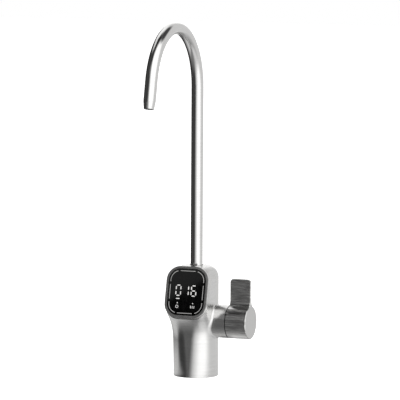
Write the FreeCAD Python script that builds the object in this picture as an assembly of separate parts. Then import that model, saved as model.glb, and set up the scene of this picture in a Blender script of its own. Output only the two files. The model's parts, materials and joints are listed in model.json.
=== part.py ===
import FreeCAD, Part
import math
import os

Vector = FreeCAD.Vector
X_AXIS = Vector(1, 0, 0)
Y_AXIS = Vector(0, 1, 0)
Z_AXIS = Vector(0, 0, 1)

# A filtered-water tap with a lit display. Millimetres. The front is -Y, the right is +X and +Z is up.
# The origin is the centre of the column's foot.

# Column and head
COLUMN_R = 18.5            # column, and the round back of the head
COLUMN_WALL = 3.0
FOOT_CORNER_GAP = 0.3      # how far the foot's outline is from a true circle
FLARE_R = 24.0             # concave curve at the front under the display, seen from the side
FLARE_ANGLE = 50.0         # how far that curve turns before it meets the display
FLARE_STEPS = 5
NECK_STEPS = 2
FLARE_LEAD = 4.0           # straight stretch under boss and flare that is drawn in one curve with them
WAIST_FLAT = 2.7           # half the width of the flat front where the flare starts
NECK_FLAT = 6.0            # the same at the display's lower edge
HEAD_CORNER = 1.0          # corner radius of the outline all the way up the head
TOP_BELOW_DISPLAY = 0.54   # how far the crowned top lies below the display's upper edge
CROWN_R = 80.0
CROWN_PEAK_Y = 3.0
TOP_EDGE_R = 10.5          # rounding of the head's top edge

# Display, on a plane that leans back
DISPLAY_TILT = 13.1        # degrees from upright
SEAT_CUT = 2.28            # how deep the bezel's seat cuts the flare, at the display's lower edge
BEZEL_H = 43.0
BEZEL_CORNER = 11.9
BEZEL_DEPTH = 3.0
BEZEL_RIM = 2.0
BEZEL_LEDGE = 0.9          # ledge that the glass rests on
BEZEL_EDGE_R = 0.5
GLASS_GAP = 0.15
GLASS_RECESS = 0.35
GLASS_THICKNESS = 1.6
DISPLAY_PLAY = 0.15        # round the carrier, in the bezel and in the head's pocket
SEAL_INSET = 0.75          # outer edge of the bezel's seal, in from the bezel's edge
SEAL_WIDTH = 1.0
SEAL_DEPTH = 1.0
POCKET_DEPTH = 9.0         # from the front of the bezel
CARRIER_WALL = 1.2
CARRIER_DEPTH = 5.8
BOARD_INSET = 1.6          # from the carrier's outer edge
BOARD_THICKNESS = 1.2
BOARD_DEPTH = 6.2          # front of the board, from the front of the bezel
POST_R = 1.7
POST_INSET = 4.85          # middle of a screw post, in from the carrier's two edges
POST_SUNK = 0.2            # how far a post runs into the carrier's front wall
SCREW_R = 0.8
SCREW_HEAD_R = 1.4
SCREW_HEAD_H = 0.8
SCREW_LENGTH = 2.4
RING_INSET = 0.6           # from the carrier's outer edge to the light ring
RING_WIDTH = 1.0
RING_DEPTH = 2.0
RING_GAP = 2.2             # dark gap between two of its eight bars
DIGITS_W = 23.0
DIGITS_H = 12.6
DIGITS_Y = 0.6
LAMP_R = 0.9
LAMP_LEFT_X = -7.9
LAMP_RIGHT_X = 5.5
LAMP_Y = -9.4
FIT_GAP = 0.05             # between pieces that are pressed or slid together
SOCKET_W = 7.0
SOCKET_H = 4.0
SOCKET_D = 3.0
SOCKET_WALL = 1.0
SOCKET_Y = -9.0
CABLE_WAY_W = 9.0
CABLE_WAY_H = 6.0

# Knob with its lever, and the boss that carries it
KNOB_Z = 46.5
KNOB_R = 13.75
KNOB_LENGTH = 17.9
KNOB_GAP = 0.6             # dark gap between boss and knob
KNOB_EDGE = 0.4
KNOB_WALL = 2.45
KNOB_CAP = 10.4            # thickness of the knob's solid outer end
BOSS_LENGTH = 11.6         # from the column's side
BOSS_WALL = 2.55
BOSS_ROOT_R = 2.1
BOSS_BELOW_HEAD = 1.01     # plain wall between the boss's root and the straight part of the head
LEVER_H = 36.0             # from the knob's axis to the lever's top
LEVER_THICKNESS = 2.4
LEVER_ROOT_R = 6.0
LEVER_CORNER = 3.0
ADAPTER_R = 7.0
ADAPTER_LENGTH = 11.0
ADAPTER_END_WALL = 1.5
DRIVE_SIZE = 5.6           # square end of the spindle
SET_SCREW_R = 2.0
SET_SCREW_SHORT = 1.9      # how far the cap's inner face lies below the knob's surface
CAP_RECESS = 0.3
HEX_KEY = 2.0
GUIDE_RING_PLAY = 0.1
GUIDE_RING_MARGIN = 0.25

# Cartridge, along the knob's axis
SOCKET_FLOOR_X = -1.0
CARTRIDGE_R = 9.5
CARTRIDGE_WALL = 1.5       # round the discs
CARTRIDGE_CLEARANCE = 0.1
WATER_SPACE_WALL = 0.8     # what is left of that wall where the water leaves
SEAT_SEAL_H = 1.2
SEAT_SEAL_BORE_R = 4.0
PASSAGE_WEB = 0.5          # half the web between a disc's two halves
DISC_H = 2.5
DISC_RELIEF = 0.3          # moving disc inside the cartridge, all round
DISC_FILM = 0.02
CHAMBER_LENGTH = 11.0
WINDOW_W = 5.0
WINDOW_L = 4.0
SPINDLE_R = 4.0
SPINDLE_CLEARANCE = 0.05
SPINDLE_FLANGE_H = 3.0
CARTRIDGE_NECK_R = 7.0
CARTRIDGE_NECK_LENGTH = 4.0
NUT_SUNK = 2.1             # from the boss's end
NUT_SOCKET = 15.6          # across the flats of its key socket
NUT_SOCKET_DEPTH = 4.0
SPINDLE_SEAL_COUNT = 2
SEAL_RING_R = 0.5          # spindle seals, wire radius
SEAL_SIDE_GAP = 0.1        # each side of a seal in its groove
SEAL_RING_FIRST = 3.3      # middle of the first seal, from the end of the discs' chamber
SEAL_RING_STEP = 4.0

# Valve body, in the column
VALVE_CLEARANCE = 0.2
VALVE_HALF_H = 15.5        # up and down from the knob's axis
INLET_X = -4.5
INLET_R = 3.2
INLET_BORE_R = 2.3
INLET_SEAT = 5.0
STUB_REACH = 11.0          # how far the supply stub stands out under the valve body
OUTLET_R = 3.5
OUTLET_BORE_R = 2.5
OUTLET_SEAT = 4.0
OUTLET_TUBE_SHORT = 0.5    # from the tube's upper end to the top of the bushing's floor
CABLE_GROOVE_W = 7.0
CABLE_GROOVE_DEPTH = 3.2

# Foot
STUD_THREAD_R = 10.3
INSERT_H = 16.0
INSERT_CLEARANCE = 0.1
GASKET_FROM_THREAD = 1.3
GASKET_FROM_BORE = 0.9
GASKET_H = 1.6

# Spout
TUBE_R = 5.0
TUBE_WALL = 1.0
ARCH_R = 50.7
ARCH_START = 241.0
ARCH_LEAN = 12.5           # the outlet's angle from upright, degrees
OUTLET_STRAIGHT = 23.3
TIP_TAPER = 6.5
TIP_DRAW = 0.9             # how much thinner the tip is than the tube, in radius
TIP_WALL = 0.8
FORMER_LENGTH = 5.0
FORMER_HOLE_R = 0.75
FORMER_RING_R = 2.3
FORMER_HOLES = 6
BUSHING_WALL = 3.0
BUSHING_OVER_VALVE = 2.5
BUSHING_FLOOR = 3.5
TOP_THICKNESS = 4.0        # metal over the bushing
RUNNING_GAP = 0.06
ROOT_BOTTOM_GAP = 0.1
ROOT_LENGTH = 12.0
ROOT_SPIGOT = 8.0
SPIGOT_WALL = 1.4
ROOT_SEAL_COUNT = 2
ROOT_SEAL_R = 0.65
ROOT_SEAL_FIRST = 1.6      # centre of the first seal, from the root's bottom
ROOT_SEAL_STEP = 3.4
LOCK_GROOVE_DEPTH = 0.8
LOCK_GROOVE_H = 3.2
LOCK_GROOVE_UP = 9.2       # its middle, from the root's bottom
LOCK_SCREW_R = 2.0
LOCK_TIP_R = 1.3
LOCK_TIP_GAP = 0.15
LOCK_SHOULDER_GAP = 0.4
LOCK_SUNK = 0.8
TOP_HOLE_GAP = 0.5         # round the tube, filled by the guide ring
GUIDE_SUNK = 0.4

# Places that follow from the sizes above
TILT = math.radians(DISPLAY_TILT)
FLARE_TURN = math.radians(FLARE_ANGLE)
BEZEL_W = 2 * COLUMN_R
BACK_N = -BEZEL_DEPTH
HEAD_START = KNOB_Z + KNOB_R + BOSS_ROOT_R + BOSS_BELOW_HEAD
HEAD_BOTTOM = HEAD_START - BEZEL_CORNER
FLARE_START = HEAD_BOTTOM - FLARE_R * math.sin(FLARE_TURN)
SHAFT_TOP = min(FLARE_START, KNOB_Z - KNOB_R - BOSS_ROOT_R) - FLARE_LEAD
FLARE_REACH = COLUMN_R + FOOT_CORNER_GAP + FLARE_R * (1 - math.cos(FLARE_TURN))
DISPLAY_RISE = BEZEL_H / 2 * math.cos(TILT)
DISPLAY_Z = HEAD_BOTTOM + DISPLAY_RISE
DISPLAY_Y = BEZEL_H / 2 * math.sin(TILT) - BEZEL_DEPTH / math.cos(TILT) - (FLARE_REACH - SEAT_CUT)
HEAD_TOP = DISPLAY_Z + DISPLAY_RISE - TOP_BELOW_DISPLAY
BORE_R = COLUMN_R - COLUMN_WALL
CROWN_Z = HEAD_TOP - CROWN_R
GLASS_BACK = -(GLASS_RECESS + GLASS_THICKNESS)
OPENING_INSET = BEZEL_RIM + BEZEL_LEDGE
CARRIER_INSET = OPENING_INSET + DISPLAY_PLAY
POCKET_INSET = OPENING_INSET - DISPLAY_PLAY
POST_X = BEZEL_W / 2 - CARRIER_INSET - POST_INSET
POST_Y = BEZEL_H / 2 - CARRIER_INSET - POST_INSET
BOSS_END = COLUMN_R + BOSS_LENGTH
BOSS_BORE_R = KNOB_R - BOSS_WALL
KNOB_START = BOSS_END + KNOB_GAP
KNOB_END = KNOB_START + KNOB_LENGTH
KNOB_BORE_R = KNOB_R - KNOB_WALL
VALVE_R = BORE_R - VALVE_CLEARANCE
VALVE_BOTTOM = KNOB_Z - VALVE_HALF_H
VALVE_TOP = KNOB_Z + VALVE_HALF_H
INLET_BOTTOM = VALVE_BOTTOM - STUB_REACH
SOCKET_R = CARTRIDGE_R + CARTRIDGE_CLEARANCE
DISC_R = CARTRIDGE_R - CARTRIDGE_WALL
CUP_R = DISC_R + FIT_GAP
DISC_X = SOCKET_FLOOR_X + SEAT_SEAL_H
MOVING_DISC_X = DISC_X + DISC_H + DISC_FILM
FLANGE_X = MOVING_DISC_X + DISC_H
CUP_END_X = DISC_X + CHAMBER_LENGTH
SEAL_RING_FIRST_X = CUP_END_X + SEAL_RING_FIRST
NUT_END_X = BOSS_END - NUT_SUNK
CARTRIDGE_END_X = NUT_END_X - NUT_SOCKET_DEPTH
CARTRIDGE_SHOULDER_X = CARTRIDGE_END_X - CARTRIDGE_NECK_LENGTH
ADAPTER_END_X = KNOB_END - KNOB_CAP + ADAPTER_LENGTH / 2
ADAPTER_START_X = ADAPTER_END_X - ADAPTER_LENGTH
SPINDLE_END_X = ADAPTER_END_X - ADAPTER_END_WALL
SET_SCREW_X = (KNOB_END - KNOB_CAP + SPINDLE_END_X) / 2
SPINDLE_GROOVE_R = SPINDLE_R + SPINDLE_CLEARANCE / 2 - 2 * SEAL_RING_R
GASKET_INNER_R = STUD_THREAD_R + GASKET_FROM_THREAD
GASKET_OUTER_R = BORE_R - GASKET_FROM_BORE
TUBE_BORE_R = TUBE_R - TUBE_WALL
TIP_R = TUBE_R - TIP_DRAW
TIP_BORE_R = TIP_R - TIP_WALL
ROOT_BORE_R = TUBE_BORE_R - SPIGOT_WALL
ROOT_GROOVE_R = TUBE_R + RUNNING_GAP / 2 - 2 * ROOT_SEAL_R
LOCK_GROOVE_R = TUBE_R - LOCK_GROOVE_DEPTH
BUSHING_R = TUBE_R + BUSHING_WALL
BUSHING_BOTTOM = VALVE_TOP + BUSHING_OVER_VALVE
BUSHING_TOP = HEAD_TOP - TOP_THICKNESS
TOP_HOLE_R = TUBE_R + TOP_HOLE_GAP
ROOT_BOTTOM = BUSHING_BOTTOM + BUSHING_FLOOR + ROOT_BOTTOM_GAP
TUBE_BOTTOM = ROOT_BOTTOM + ROOT_LENGTH
LOCK_Z = ROOT_BOTTOM + LOCK_GROOVE_UP
LEAN = math.radians(ARCH_LEAN)
DOWN_SPOUT = Vector(0, -math.sin(LEAN), -math.cos(LEAN))
ARCH_END = Vector(0, -ARCH_R * (1 + math.cos(LEAN)), ARCH_START + ARCH_R * math.sin(LEAN))
TAPER_START = ARCH_END + DOWN_SPOUT * (OUTLET_STRAIGHT - TIP_TAPER)

# For the cuts
CLEAR = 60.0               # longer than any cut needs
OVER = 1.0                 # how far a cut or a joined stretch runs past the face where it starts


def cylinder_x(radius, x0, x1):
    """A cylinder on the knob's axis, from x0 to x1."""
    return Part.makeCylinder(radius, x1 - x0, Vector(x0, 0, KNOB_Z), X_AXIS)


def cylinder_z(radius, z0, z1, x=0.0):
    """An upright cylinder from z0 to z1."""
    return Part.makeCylinder(radius, z1 - z0, Vector(x, 0, z0), Z_AXIS)


def box(x0, x1, y0, y1, z0, z1):
    """A box between two corners."""
    return Part.makeBox(x1 - x0, y1 - y0, z1 - z0, Vector(x0, y0, z0))


def seal_ring(centre, axis, ring_radius, wire_radius):
    """A round seal of round section."""
    return Part.makeTorus(ring_radius, wire_radius, centre, axis)


def on_display(shape):
    """Carries a shape from the display's own axes, x right, y up the glass, z outwards, to its place."""
    moved = shape.copy()
    turn = FreeCAD.Rotation(X_AXIS, 90 - DISPLAY_TILT)
    moved.Placement = FreeCAD.Placement(Vector(0, DISPLAY_Y, DISPLAY_Z), turn).multiply(shape.Placement)
    return moved


def rounded_outline(width, height, radius):
    """A closed wire: a rectangle about the origin with rounded corners."""
    half_w = width / 2
    half_h = height / 2
    edges = []
    corners = [(1, 1, 0), (-1, 1, 90), (-1, -1, 180), (1, -1, 270)]
    points = []
    for sx, sy, start in corners:
        centre = Vector(sx * (half_w - radius), sy * (half_h - radius), 0)
        circle = Part.Circle(centre, Z_AXIS, radius)
        arc = Part.ArcOfCircle(circle, math.radians(start), math.radians(start + 90))
        edges.append(arc.toShape())
        points.append((arc.StartPoint, arc.EndPoint))
    for i in range(4):
        edges.append(Part.LineSegment(points[i][1], points[(i + 1) % 4][0]).toShape())
    return Part.Wire(Part.__sortEdges__(edges))


def display_plate(inset, front, back):
    """A plate of the bezel's outline drawn in by inset, between two depths along the display's normal."""
    outline = rounded_outline(BEZEL_W - 2 * inset, BEZEL_H - 2 * inset, BEZEL_CORNER - inset)
    plate = Part.Face(outline).extrude(Vector(0, 0, front - back))
    plate.translate(Vector(0, 0, back))
    return plate


def seat_reach(z):
    """How far forward of the axis the bezel's seat lies at height z."""
    return -DISPLAY_Y - (BEZEL_DEPTH + math.sin(TILT) * (z - DISPLAY_Z)) / math.cos(TILT)


def front_reach(z):
    """How far forward of the axis the column's front lies at height z, before the seat is cut."""
    rise = min(z, HEAD_BOTTOM) - FLARE_START
    if rise <= 0:
        return COLUMN_R + FOOT_CORNER_GAP
    return COLUMN_R + FOOT_CORNER_GAP + FLARE_R - math.sqrt(FLARE_R ** 2 - rise ** 2)


def corner_radius(z):
    """The front corners' radius at height z: almost round at the foot, almost square at the head."""
    stops = [
        (0.0, COLUMN_R - FOOT_CORNER_GAP),
        (FLARE_START, COLUMN_R - WAIST_FLAT),
        (HEAD_BOTTOM, COLUMN_R - NECK_FLAT),
        (HEAD_START, HEAD_CORNER),
    ]
    for (z0, r0), (z1, r1) in zip(stops, stops[1:]):
        if z <= z1:
            return r0 + (r1 - r0) * (z - z0) / (z1 - z0)
    return HEAD_CORNER


def column_outline(z, front, corner):
    """The column's outline at height z: half a circle behind, straight sides, rounded front corners."""
    side = COLUMN_R
    corner_x = side - corner
    corner_y = corner - front
    diagonal = corner * math.sqrt(0.5)
    rear = [(side, 0), (0, side), (-side, 0)]
    left = [(-side, corner_y), (-corner_x - diagonal, corner_y - diagonal), (-corner_x, -front)]
    right = [(corner_x, -front), (corner_x + diagonal, corner_y - diagonal), (side, corner_y)]
    rear, left, right = [[Vector(x, y, z) for x, y in points] for points in (rear, left, right)]
    edges = [
        Part.Arc(*rear).toShape(),
        Part.LineSegment(rear[2], left[0]).toShape(),
        Part.Arc(*left).toShape(),
        Part.LineSegment(left[2], right[0]).toShape(),
        Part.Arc(*right).toShape(),
        Part.LineSegment(right[2], rear[0]).toShape(),
    ]
    return Part.Wire(edges)


def column_stretch(levels, ruled):
    """A solid through the column's outlines at these heights, straight or curved between them."""
    wires = [column_outline(z, front_reach(z), corner_radius(z)) for z in levels]
    return Part.makeLoft(wires, True, ruled)


def outside_of_column():
    """The column's outer form, flared forward to the seat of the bezel, with the crowned head on it.

    Flare and neck are one smooth surface, which the boss's root fillet can run across.
    """
    flare_step = (HEAD_BOTTOM - FLARE_START) / FLARE_STEPS
    neck_step = (HEAD_START - HEAD_BOTTOM) / NECK_STEPS
    levels = [SHAFT_TOP]
    levels += [FLARE_START + flare_step * step for step in range(FLARE_STEPS + 1)]
    levels += [HEAD_BOTTOM + neck_step * step for step in range(1, NECK_STEPS + 1)]
    shaft = column_stretch([0.0, SHAFT_TOP], True)
    flare = column_stretch(levels, False)
    rim_outline = column_outline(HEAD_START, front_reach(HEAD_START), corner_radius(HEAD_START))
    head = Part.Face(rim_outline).extrude(Vector(0, 0, HEAD_TOP + OVER - HEAD_START))
    crown = Part.makeCylinder(CROWN_R, CLEAR, Vector(-CLEAR / 2, CROWN_PEAK_Y, CROWN_Z), X_AXIS)
    in_front = Part.makeBox(CLEAR, CLEAR * 2, CLEAR, Vector(-CLEAR / 2, -CLEAR, BACK_N))
    in_front = on_display(in_front)
    head = head.common(crown).cut(in_front)
    head = head.makeFillet(TOP_EDGE_R, [edge for edge in head.Edges if is_top_rim(edge)])
    return shaft.fuse([flare.cut(in_front), head]).removeSplitter()


def is_top_rim(edge):
    """Whether an edge of the head lies along the crowned top, at its sides or back."""
    middle = edge.valueAt((edge.FirstParameter + edge.LastParameter) / 2)
    high = middle.z > HEAD_START + OVER and abs(edge.Vertexes[0].Z - edge.Vertexes[-1].Z) < TOP_EDGE_R
    return high and middle.y > OVER - seat_reach(middle.z)


def column_shell():
    """The cast column with its head and boss, hollow inside."""
    body = outside_of_column()
    boss = cylinder_x(KNOB_R, 0, BOSS_END)
    body = body.fuse(boss).removeSplitter()
    root = [edge for edge in body.Edges if is_boss_root(edge)]
    body = body.makeFillet(BOSS_ROOT_R, root)
    hollow = [
        cylinder_z(BORE_R, -OVER, VALVE_TOP + OVER),
        cylinder_z(BUSHING_R + FIT_GAP, VALVE_TOP, BUSHING_TOP),
        cylinder_z(TOP_HOLE_R, BUSHING_TOP - OVER, HEAD_TOP + OVER),
        cylinder_x(BOSS_BORE_R, 0, BOSS_END + OVER),
        on_display(display_plate(POCKET_INSET, OVER, -POCKET_DEPTH)),
        on_display(cable_way()),
        Part.makeCylinder(LOCK_SCREW_R + FIT_GAP, CLEAR, Vector(0, 0, LOCK_Z), Y_AXIS),
    ]
    for space in hollow:
        body = body.cut(space)
    return body


def is_boss_root(edge):
    """Whether an edge lies where the boss leaves the column."""
    span = edge.LastParameter - edge.FirstParameter
    points = [edge.valueAt(edge.FirstParameter + span * share) for share in (0.2, 0.5, 0.8)]
    on_boss = all(abs(math.hypot(p.y, p.z - KNOB_Z) - KNOB_R) < 0.05 for p in points)
    return on_boss and all(p.x < COLUMN_R + OVER for p in points)


def cable_way():
    """The way for the display's cable, from the pocket back into the column's bore."""
    return box(
        -CABLE_WAY_W / 2, CABLE_WAY_W / 2,
        SOCKET_Y - CABLE_WAY_H / 2, SOCKET_Y + CABLE_WAY_H / 2,
        -POCKET_DEPTH - 2 * CABLE_WAY_W, -POCKET_DEPTH + OVER,
    )


def base_insert():
    """The threaded ring in the foot that takes the hollow mounting stud."""
    ring = cylinder_z(BORE_R - INSERT_CLEARANCE, 0, INSERT_H)
    ring = ring.cut(cylinder_z(STUD_THREAD_R, -OVER, INSERT_H + OVER))
    return ring.cut(tube_z(GASKET_OUTER_R, GASKET_INNER_R, -OVER, GASKET_H))


def base_gasket():
    """The rubber ring under the foot, level with it."""
    return tube_z(GASKET_OUTER_R - FIT_GAP, GASKET_INNER_R + FIT_GAP, 0, GASKET_H)


def valve_body():
    """The brass block that takes the cartridge from the side, water from below and sends it up."""
    block = cylinder_z(VALVE_R, VALVE_BOTTOM, VALVE_TOP)
    waterways = [
        cylinder_x(SOCKET_R, SOCKET_FLOOR_X, CLEAR),
        cylinder_x(INLET_BORE_R, INLET_X, SOCKET_FLOOR_X + OVER),
        cylinder_z(INLET_BORE_R, VALVE_BOTTOM, KNOB_Z, INLET_X),
        cylinder_z(INLET_R + FIT_GAP, VALVE_BOTTOM - OVER, VALVE_BOTTOM + INLET_SEAT, INLET_X),
        cylinder_z(OUTLET_BORE_R, KNOB_Z + CARTRIDGE_R - OVER, VALVE_TOP + OVER),
        cylinder_z(OUTLET_R + FIT_GAP, VALVE_TOP - OUTLET_SEAT, VALVE_TOP + OVER),
    ]
    for way in waterways:
        block = block.cut(way)
    half = CABLE_GROOVE_W / 2
    groove_back = CABLE_GROOVE_DEPTH - VALVE_R
    return block.cut(box(-half, half, -CLEAR, groove_back, VALVE_BOTTOM - OVER, VALVE_TOP + OVER))


def supply_stub():
    """The short tube under the valve body that the supply hose is pushed on, above the mounting stud."""
    return tube_z(INLET_R, INLET_BORE_R, INLET_BOTTOM, VALVE_BOTTOM + INLET_SEAT, INLET_X)


def outlet_tube():
    """The tube from the valve body up into the spout's bushing."""
    top = BUSHING_BOTTOM + BUSHING_FLOOR - OUTLET_TUBE_SHORT
    return tube_z(OUTLET_R, OUTLET_BORE_R, VALVE_TOP - OUTLET_SEAT, top)


def tube_z(outer, inner, z0, z1, x=0.0):
    """An upright tube."""
    return cylinder_z(outer, z0, z1, x).cut(cylinder_z(inner, z0 - OVER, z1 + OVER, x))


def tube_x(outer, inner, x0, x1):
    """A tube on the knob's axis."""
    return cylinder_x(outer, x0, x1).cut(cylinder_x(inner, x0 - OVER, x1 + OVER))


def seat_seal():
    """The rubber washer between the valve body and the fixed disc."""
    return tube_x(DISC_R, SEAT_SEAL_BORE_R, SOCKET_FLOOR_X, DISC_X)


def half_moon(radius, x0, x1, upper):
    """Half of a round water passage through a ceramic disc."""
    passage = cylinder_x(radius, x0 - OVER, x1 + OVER)
    keep_from = KNOB_Z + PASSAGE_WEB if upper else KNOB_Z - CLEAR - PASSAGE_WEB
    return passage.common(box(x0 - OVER, x1 + OVER, -CLEAR, CLEAR, keep_from, keep_from + CLEAR))


def fixed_ceramic_disc():
    """The disc that stays still, with one half-moon passage."""
    disc = cylinder_x(DISC_R, DISC_X, DISC_X + DISC_H)
    return disc.cut(half_moon(SEAT_SEAL_BORE_R, DISC_X, DISC_X + DISC_H, True))


def moving_ceramic_disc():
    """The disc that turns with the spindle."""
    disc = cylinder_x(DISC_R - DISC_RELIEF, MOVING_DISC_X, MOVING_DISC_X + DISC_H)
    return disc.cut(half_moon(SEAT_SEAL_BORE_R, MOVING_DISC_X, MOVING_DISC_X + DISC_H, False))


def cartridge_body():
    """The brass sleeve that holds the discs and guides the spindle."""
    sleeve = cylinder_x(CARTRIDGE_R, DISC_X, CARTRIDGE_SHOULDER_X)
    sleeve = sleeve.fuse(cylinder_x(CARTRIDGE_NECK_R, CARTRIDGE_SHOULDER_X - OVER, CARTRIDGE_END_X))
    sleeve = sleeve.cut(cylinder_x(CUP_R, DISC_X - OVER, CUP_END_X))
    sleeve = sleeve.cut(cylinder_x(SPINDLE_R + SPINDLE_CLEARANCE, CUP_END_X - OVER, CARTRIDGE_END_X + OVER))
    window_x = FLANGE_X + SPINDLE_FLANGE_H / 2 - WINDOW_L / 2
    window = box(window_x, window_x + WINDOW_L, -WINDOW_W / 2, WINDOW_W / 2, KNOB_Z - CLEAR, KNOB_Z + CLEAR)
    relief = tube_x(CARTRIDGE_R + OVER, CUP_R + WATER_SPACE_WALL, DISC_X + OVER, window_x + WINDOW_L)
    return sleeve.cut(window).cut(relief)


def spindle():
    """The turning shaft: a flange that drives the disc, two seal grooves and a square outer end."""
    shaft = cylinder_x(DISC_R - DISC_RELIEF, FLANGE_X, FLANGE_X + SPINDLE_FLANGE_H)
    shaft = shaft.fuse(cylinder_x(SPINDLE_R, FLANGE_X + OVER, ADAPTER_START_X - FIT_GAP))
    for x in seal_places():
        half_width = SEAL_RING_R + SEAL_SIDE_GAP
        shaft = shaft.cut(tube_x(SPINDLE_R + OVER, SPINDLE_GROOVE_R, x - half_width, x + half_width))
    half = DRIVE_SIZE / 2
    square = box(ADAPTER_START_X - OVER, SPINDLE_END_X, -half, half, KNOB_Z - half, KNOB_Z + half)
    return shaft.fuse(square)


def seal_places():
    """Where the spindle's two seals sit."""
    return [SEAL_RING_FIRST_X + i * SEAL_RING_STEP for i in range(SPINDLE_SEAL_COUNT)]


def spindle_seals():
    """Two rubber rings on the spindle."""
    ring_radius = SPINDLE_GROOVE_R + SEAL_RING_R
    rings = [seal_ring(Vector(x, 0, KNOB_Z), X_AXIS, ring_radius, SEAL_RING_R) for x in seal_places()]
    return Part.makeCompound(rings)


def cartridge_nut():
    """The ring that is screwed into the boss and holds the cartridge in."""
    nut = tube_x(BOSS_BORE_R - FIT_GAP, CARTRIDGE_NECK_R + FIT_GAP, CARTRIDGE_SHOULDER_X, NUT_END_X)
    start = Vector(CARTRIDGE_END_X, 0, KNOB_Z)
    return nut.cut(hexagon_bar(NUT_SOCKET, NUT_SOCKET_DEPTH + OVER, start, X_AXIS))


def hexagon_bar(across_flats, length, place, direction):
    """A hexagonal bar that starts at place and runs along direction."""
    radius = across_flats / 2 / math.cos(math.radians(30))
    angles = [math.radians(60 * i) for i in range(7)]
    points = [Vector(radius * math.cos(a), radius * math.sin(a), 0) for a in angles]
    bar = Part.Face(Part.makePolygon(points)).extrude(Vector(0, 0, length))
    bar.Placement = FreeCAD.Placement(place, FreeCAD.Rotation(Z_AXIS, direction))
    return bar


def knob_guide_ring():
    """The plastic ring on the boss's end that the knob turns against."""
    inner = BOSS_BORE_R + GUIDE_RING_PLAY
    return tube_x(KNOB_R - GUIDE_RING_MARGIN, inner, BOSS_END, KNOB_START - GUIDE_RING_PLAY)


def knob_profile(x):
    """End view of knob and lever: a circle that rises through two hollow curves into a thin blade."""
    half = LEVER_THICKNESS / 2
    arc_y = half + LEVER_ROOT_R
    reach = KNOB_R + LEVER_ROOT_R
    arc_z = math.sqrt(reach ** 2 - arc_y ** 2)
    touch = KNOB_R / reach
    bend_y = arc_y - LEVER_ROOT_R * math.cos(math.atan2(arc_z, arc_y) / 2)
    bend_z = arc_z - LEVER_ROOT_R * math.sin(math.atan2(arc_z, arc_y) / 2)

    def at(y, z):
        return Vector(x, y, KNOB_Z + z)

    round_part = Part.Arc(at(arc_y * touch, arc_z * touch), at(0, -KNOB_R), at(-arc_y * touch, arc_z * touch))
    left_root = Part.Arc(at(-arc_y * touch, arc_z * touch), at(-bend_y, bend_z), at(-half, arc_z))
    right_root = Part.Arc(at(half, arc_z), at(bend_y, bend_z), at(arc_y * touch, arc_z * touch))
    edges = [
        round_part.toShape(),
        left_root.toShape(),
        Part.LineSegment(at(-half, arc_z), at(-half, LEVER_H)).toShape(),
        Part.LineSegment(at(-half, LEVER_H), at(half, LEVER_H)).toShape(),
        Part.LineSegment(at(half, LEVER_H), at(half, arc_z)).toShape(),
        right_root.toShape(),
    ]
    return Part.Wire(edges)


def handle_knob():
    """The knob and its lever blade in one piece, hollow towards the boss."""
    knob = Part.Face(knob_profile(KNOB_START)).extrude(Vector(KNOB_END - KNOB_START, 0, 0))
    knob = knob.makeFillet(LEVER_CORNER, [edge for edge in knob.Edges if is_lever_corner(edge)])
    knob = knob.cut(cylinder_x(KNOB_BORE_R, KNOB_START - OVER, KNOB_END - KNOB_CAP))
    knob = knob.cut(cylinder_x(ADAPTER_R, KNOB_START, ADAPTER_END_X))
    knob = knob.cut(screw_hole(SET_SCREW_R + FIT_GAP))
    return knob.makeChamfer(KNOB_EDGE, [edge for edge in knob.Edges if is_knob_rim(edge)])


def is_lever_corner(edge):
    """Whether an edge is one of the two short ones across the lever's top corners."""
    box_of = edge.BoundBox
    return box_of.ZMin > KNOB_Z + LEVER_H - 0.01 and box_of.XLength < 0.01


def is_knob_rim(edge):
    """Whether an edge is the round rim of the knob's outer end."""
    box_of = edge.BoundBox
    return box_of.XMin > KNOB_END - 0.01 and box_of.ZMin < KNOB_Z - KNOB_R + 0.01


def screw_hole(radius):
    """The set screw's hole, up through the underside of the knob."""
    start = Vector(SET_SCREW_X, 0, KNOB_Z - KNOB_R - OVER)
    return Part.makeCylinder(radius, KNOB_R + OVER - DRIVE_SIZE / 2, start, Z_AXIS)


def drive_adapter():
    """The insert in the knob with the square hole that the spindle drives."""
    insert = cylinder_x(ADAPTER_R, ADAPTER_START_X, ADAPTER_END_X)
    half = DRIVE_SIZE / 2
    insert = insert.cut(box(ADAPTER_START_X - OVER, SPINDLE_END_X, -half, half, KNOB_Z - half, KNOB_Z + half))
    return insert.cut(screw_hole(SET_SCREW_R + FIT_GAP))


def set_screw():
    """The headless screw that holds the knob on the spindle."""
    start = Vector(SET_SCREW_X, 0, KNOB_Z - KNOB_R + SET_SCREW_SHORT)
    screw = Part.makeCylinder(SET_SCREW_R, KNOB_Z - DRIVE_SIZE / 2 - start.z, start, Z_AXIS)
    return screw.cut(hex_socket(start, Z_AXIS))


def set_screw_cap():
    """The small cap over the set screw."""
    start = Vector(SET_SCREW_X, 0, KNOB_Z - KNOB_R + CAP_RECESS)
    return Part.makeCylinder(SET_SCREW_R, SET_SCREW_SHORT - CAP_RECESS, start, Z_AXIS)


def hex_socket(place, direction):
    """A hexagonal key hole that goes into a screw from place."""
    return hexagon_bar(HEX_KEY, HEX_KEY, place, direction)


def spout_bushing():
    """The brass bushing in the head that the spout turns in."""
    bushing = cylinder_z(BUSHING_R, BUSHING_BOTTOM, BUSHING_TOP)
    bushing = bushing.cut(cylinder_z(TUBE_R + RUNNING_GAP, BUSHING_BOTTOM + BUSHING_FLOOR, BUSHING_TOP + OVER))
    bushing = bushing.cut(cylinder_z(OUTLET_R + FIT_GAP, BUSHING_BOTTOM - OVER, BUSHING_TOP))
    return bushing.cut(Part.makeCylinder(LOCK_SCREW_R + FIT_GAP, CLEAR, Vector(0, 0, LOCK_Z), Y_AXIS))


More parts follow.
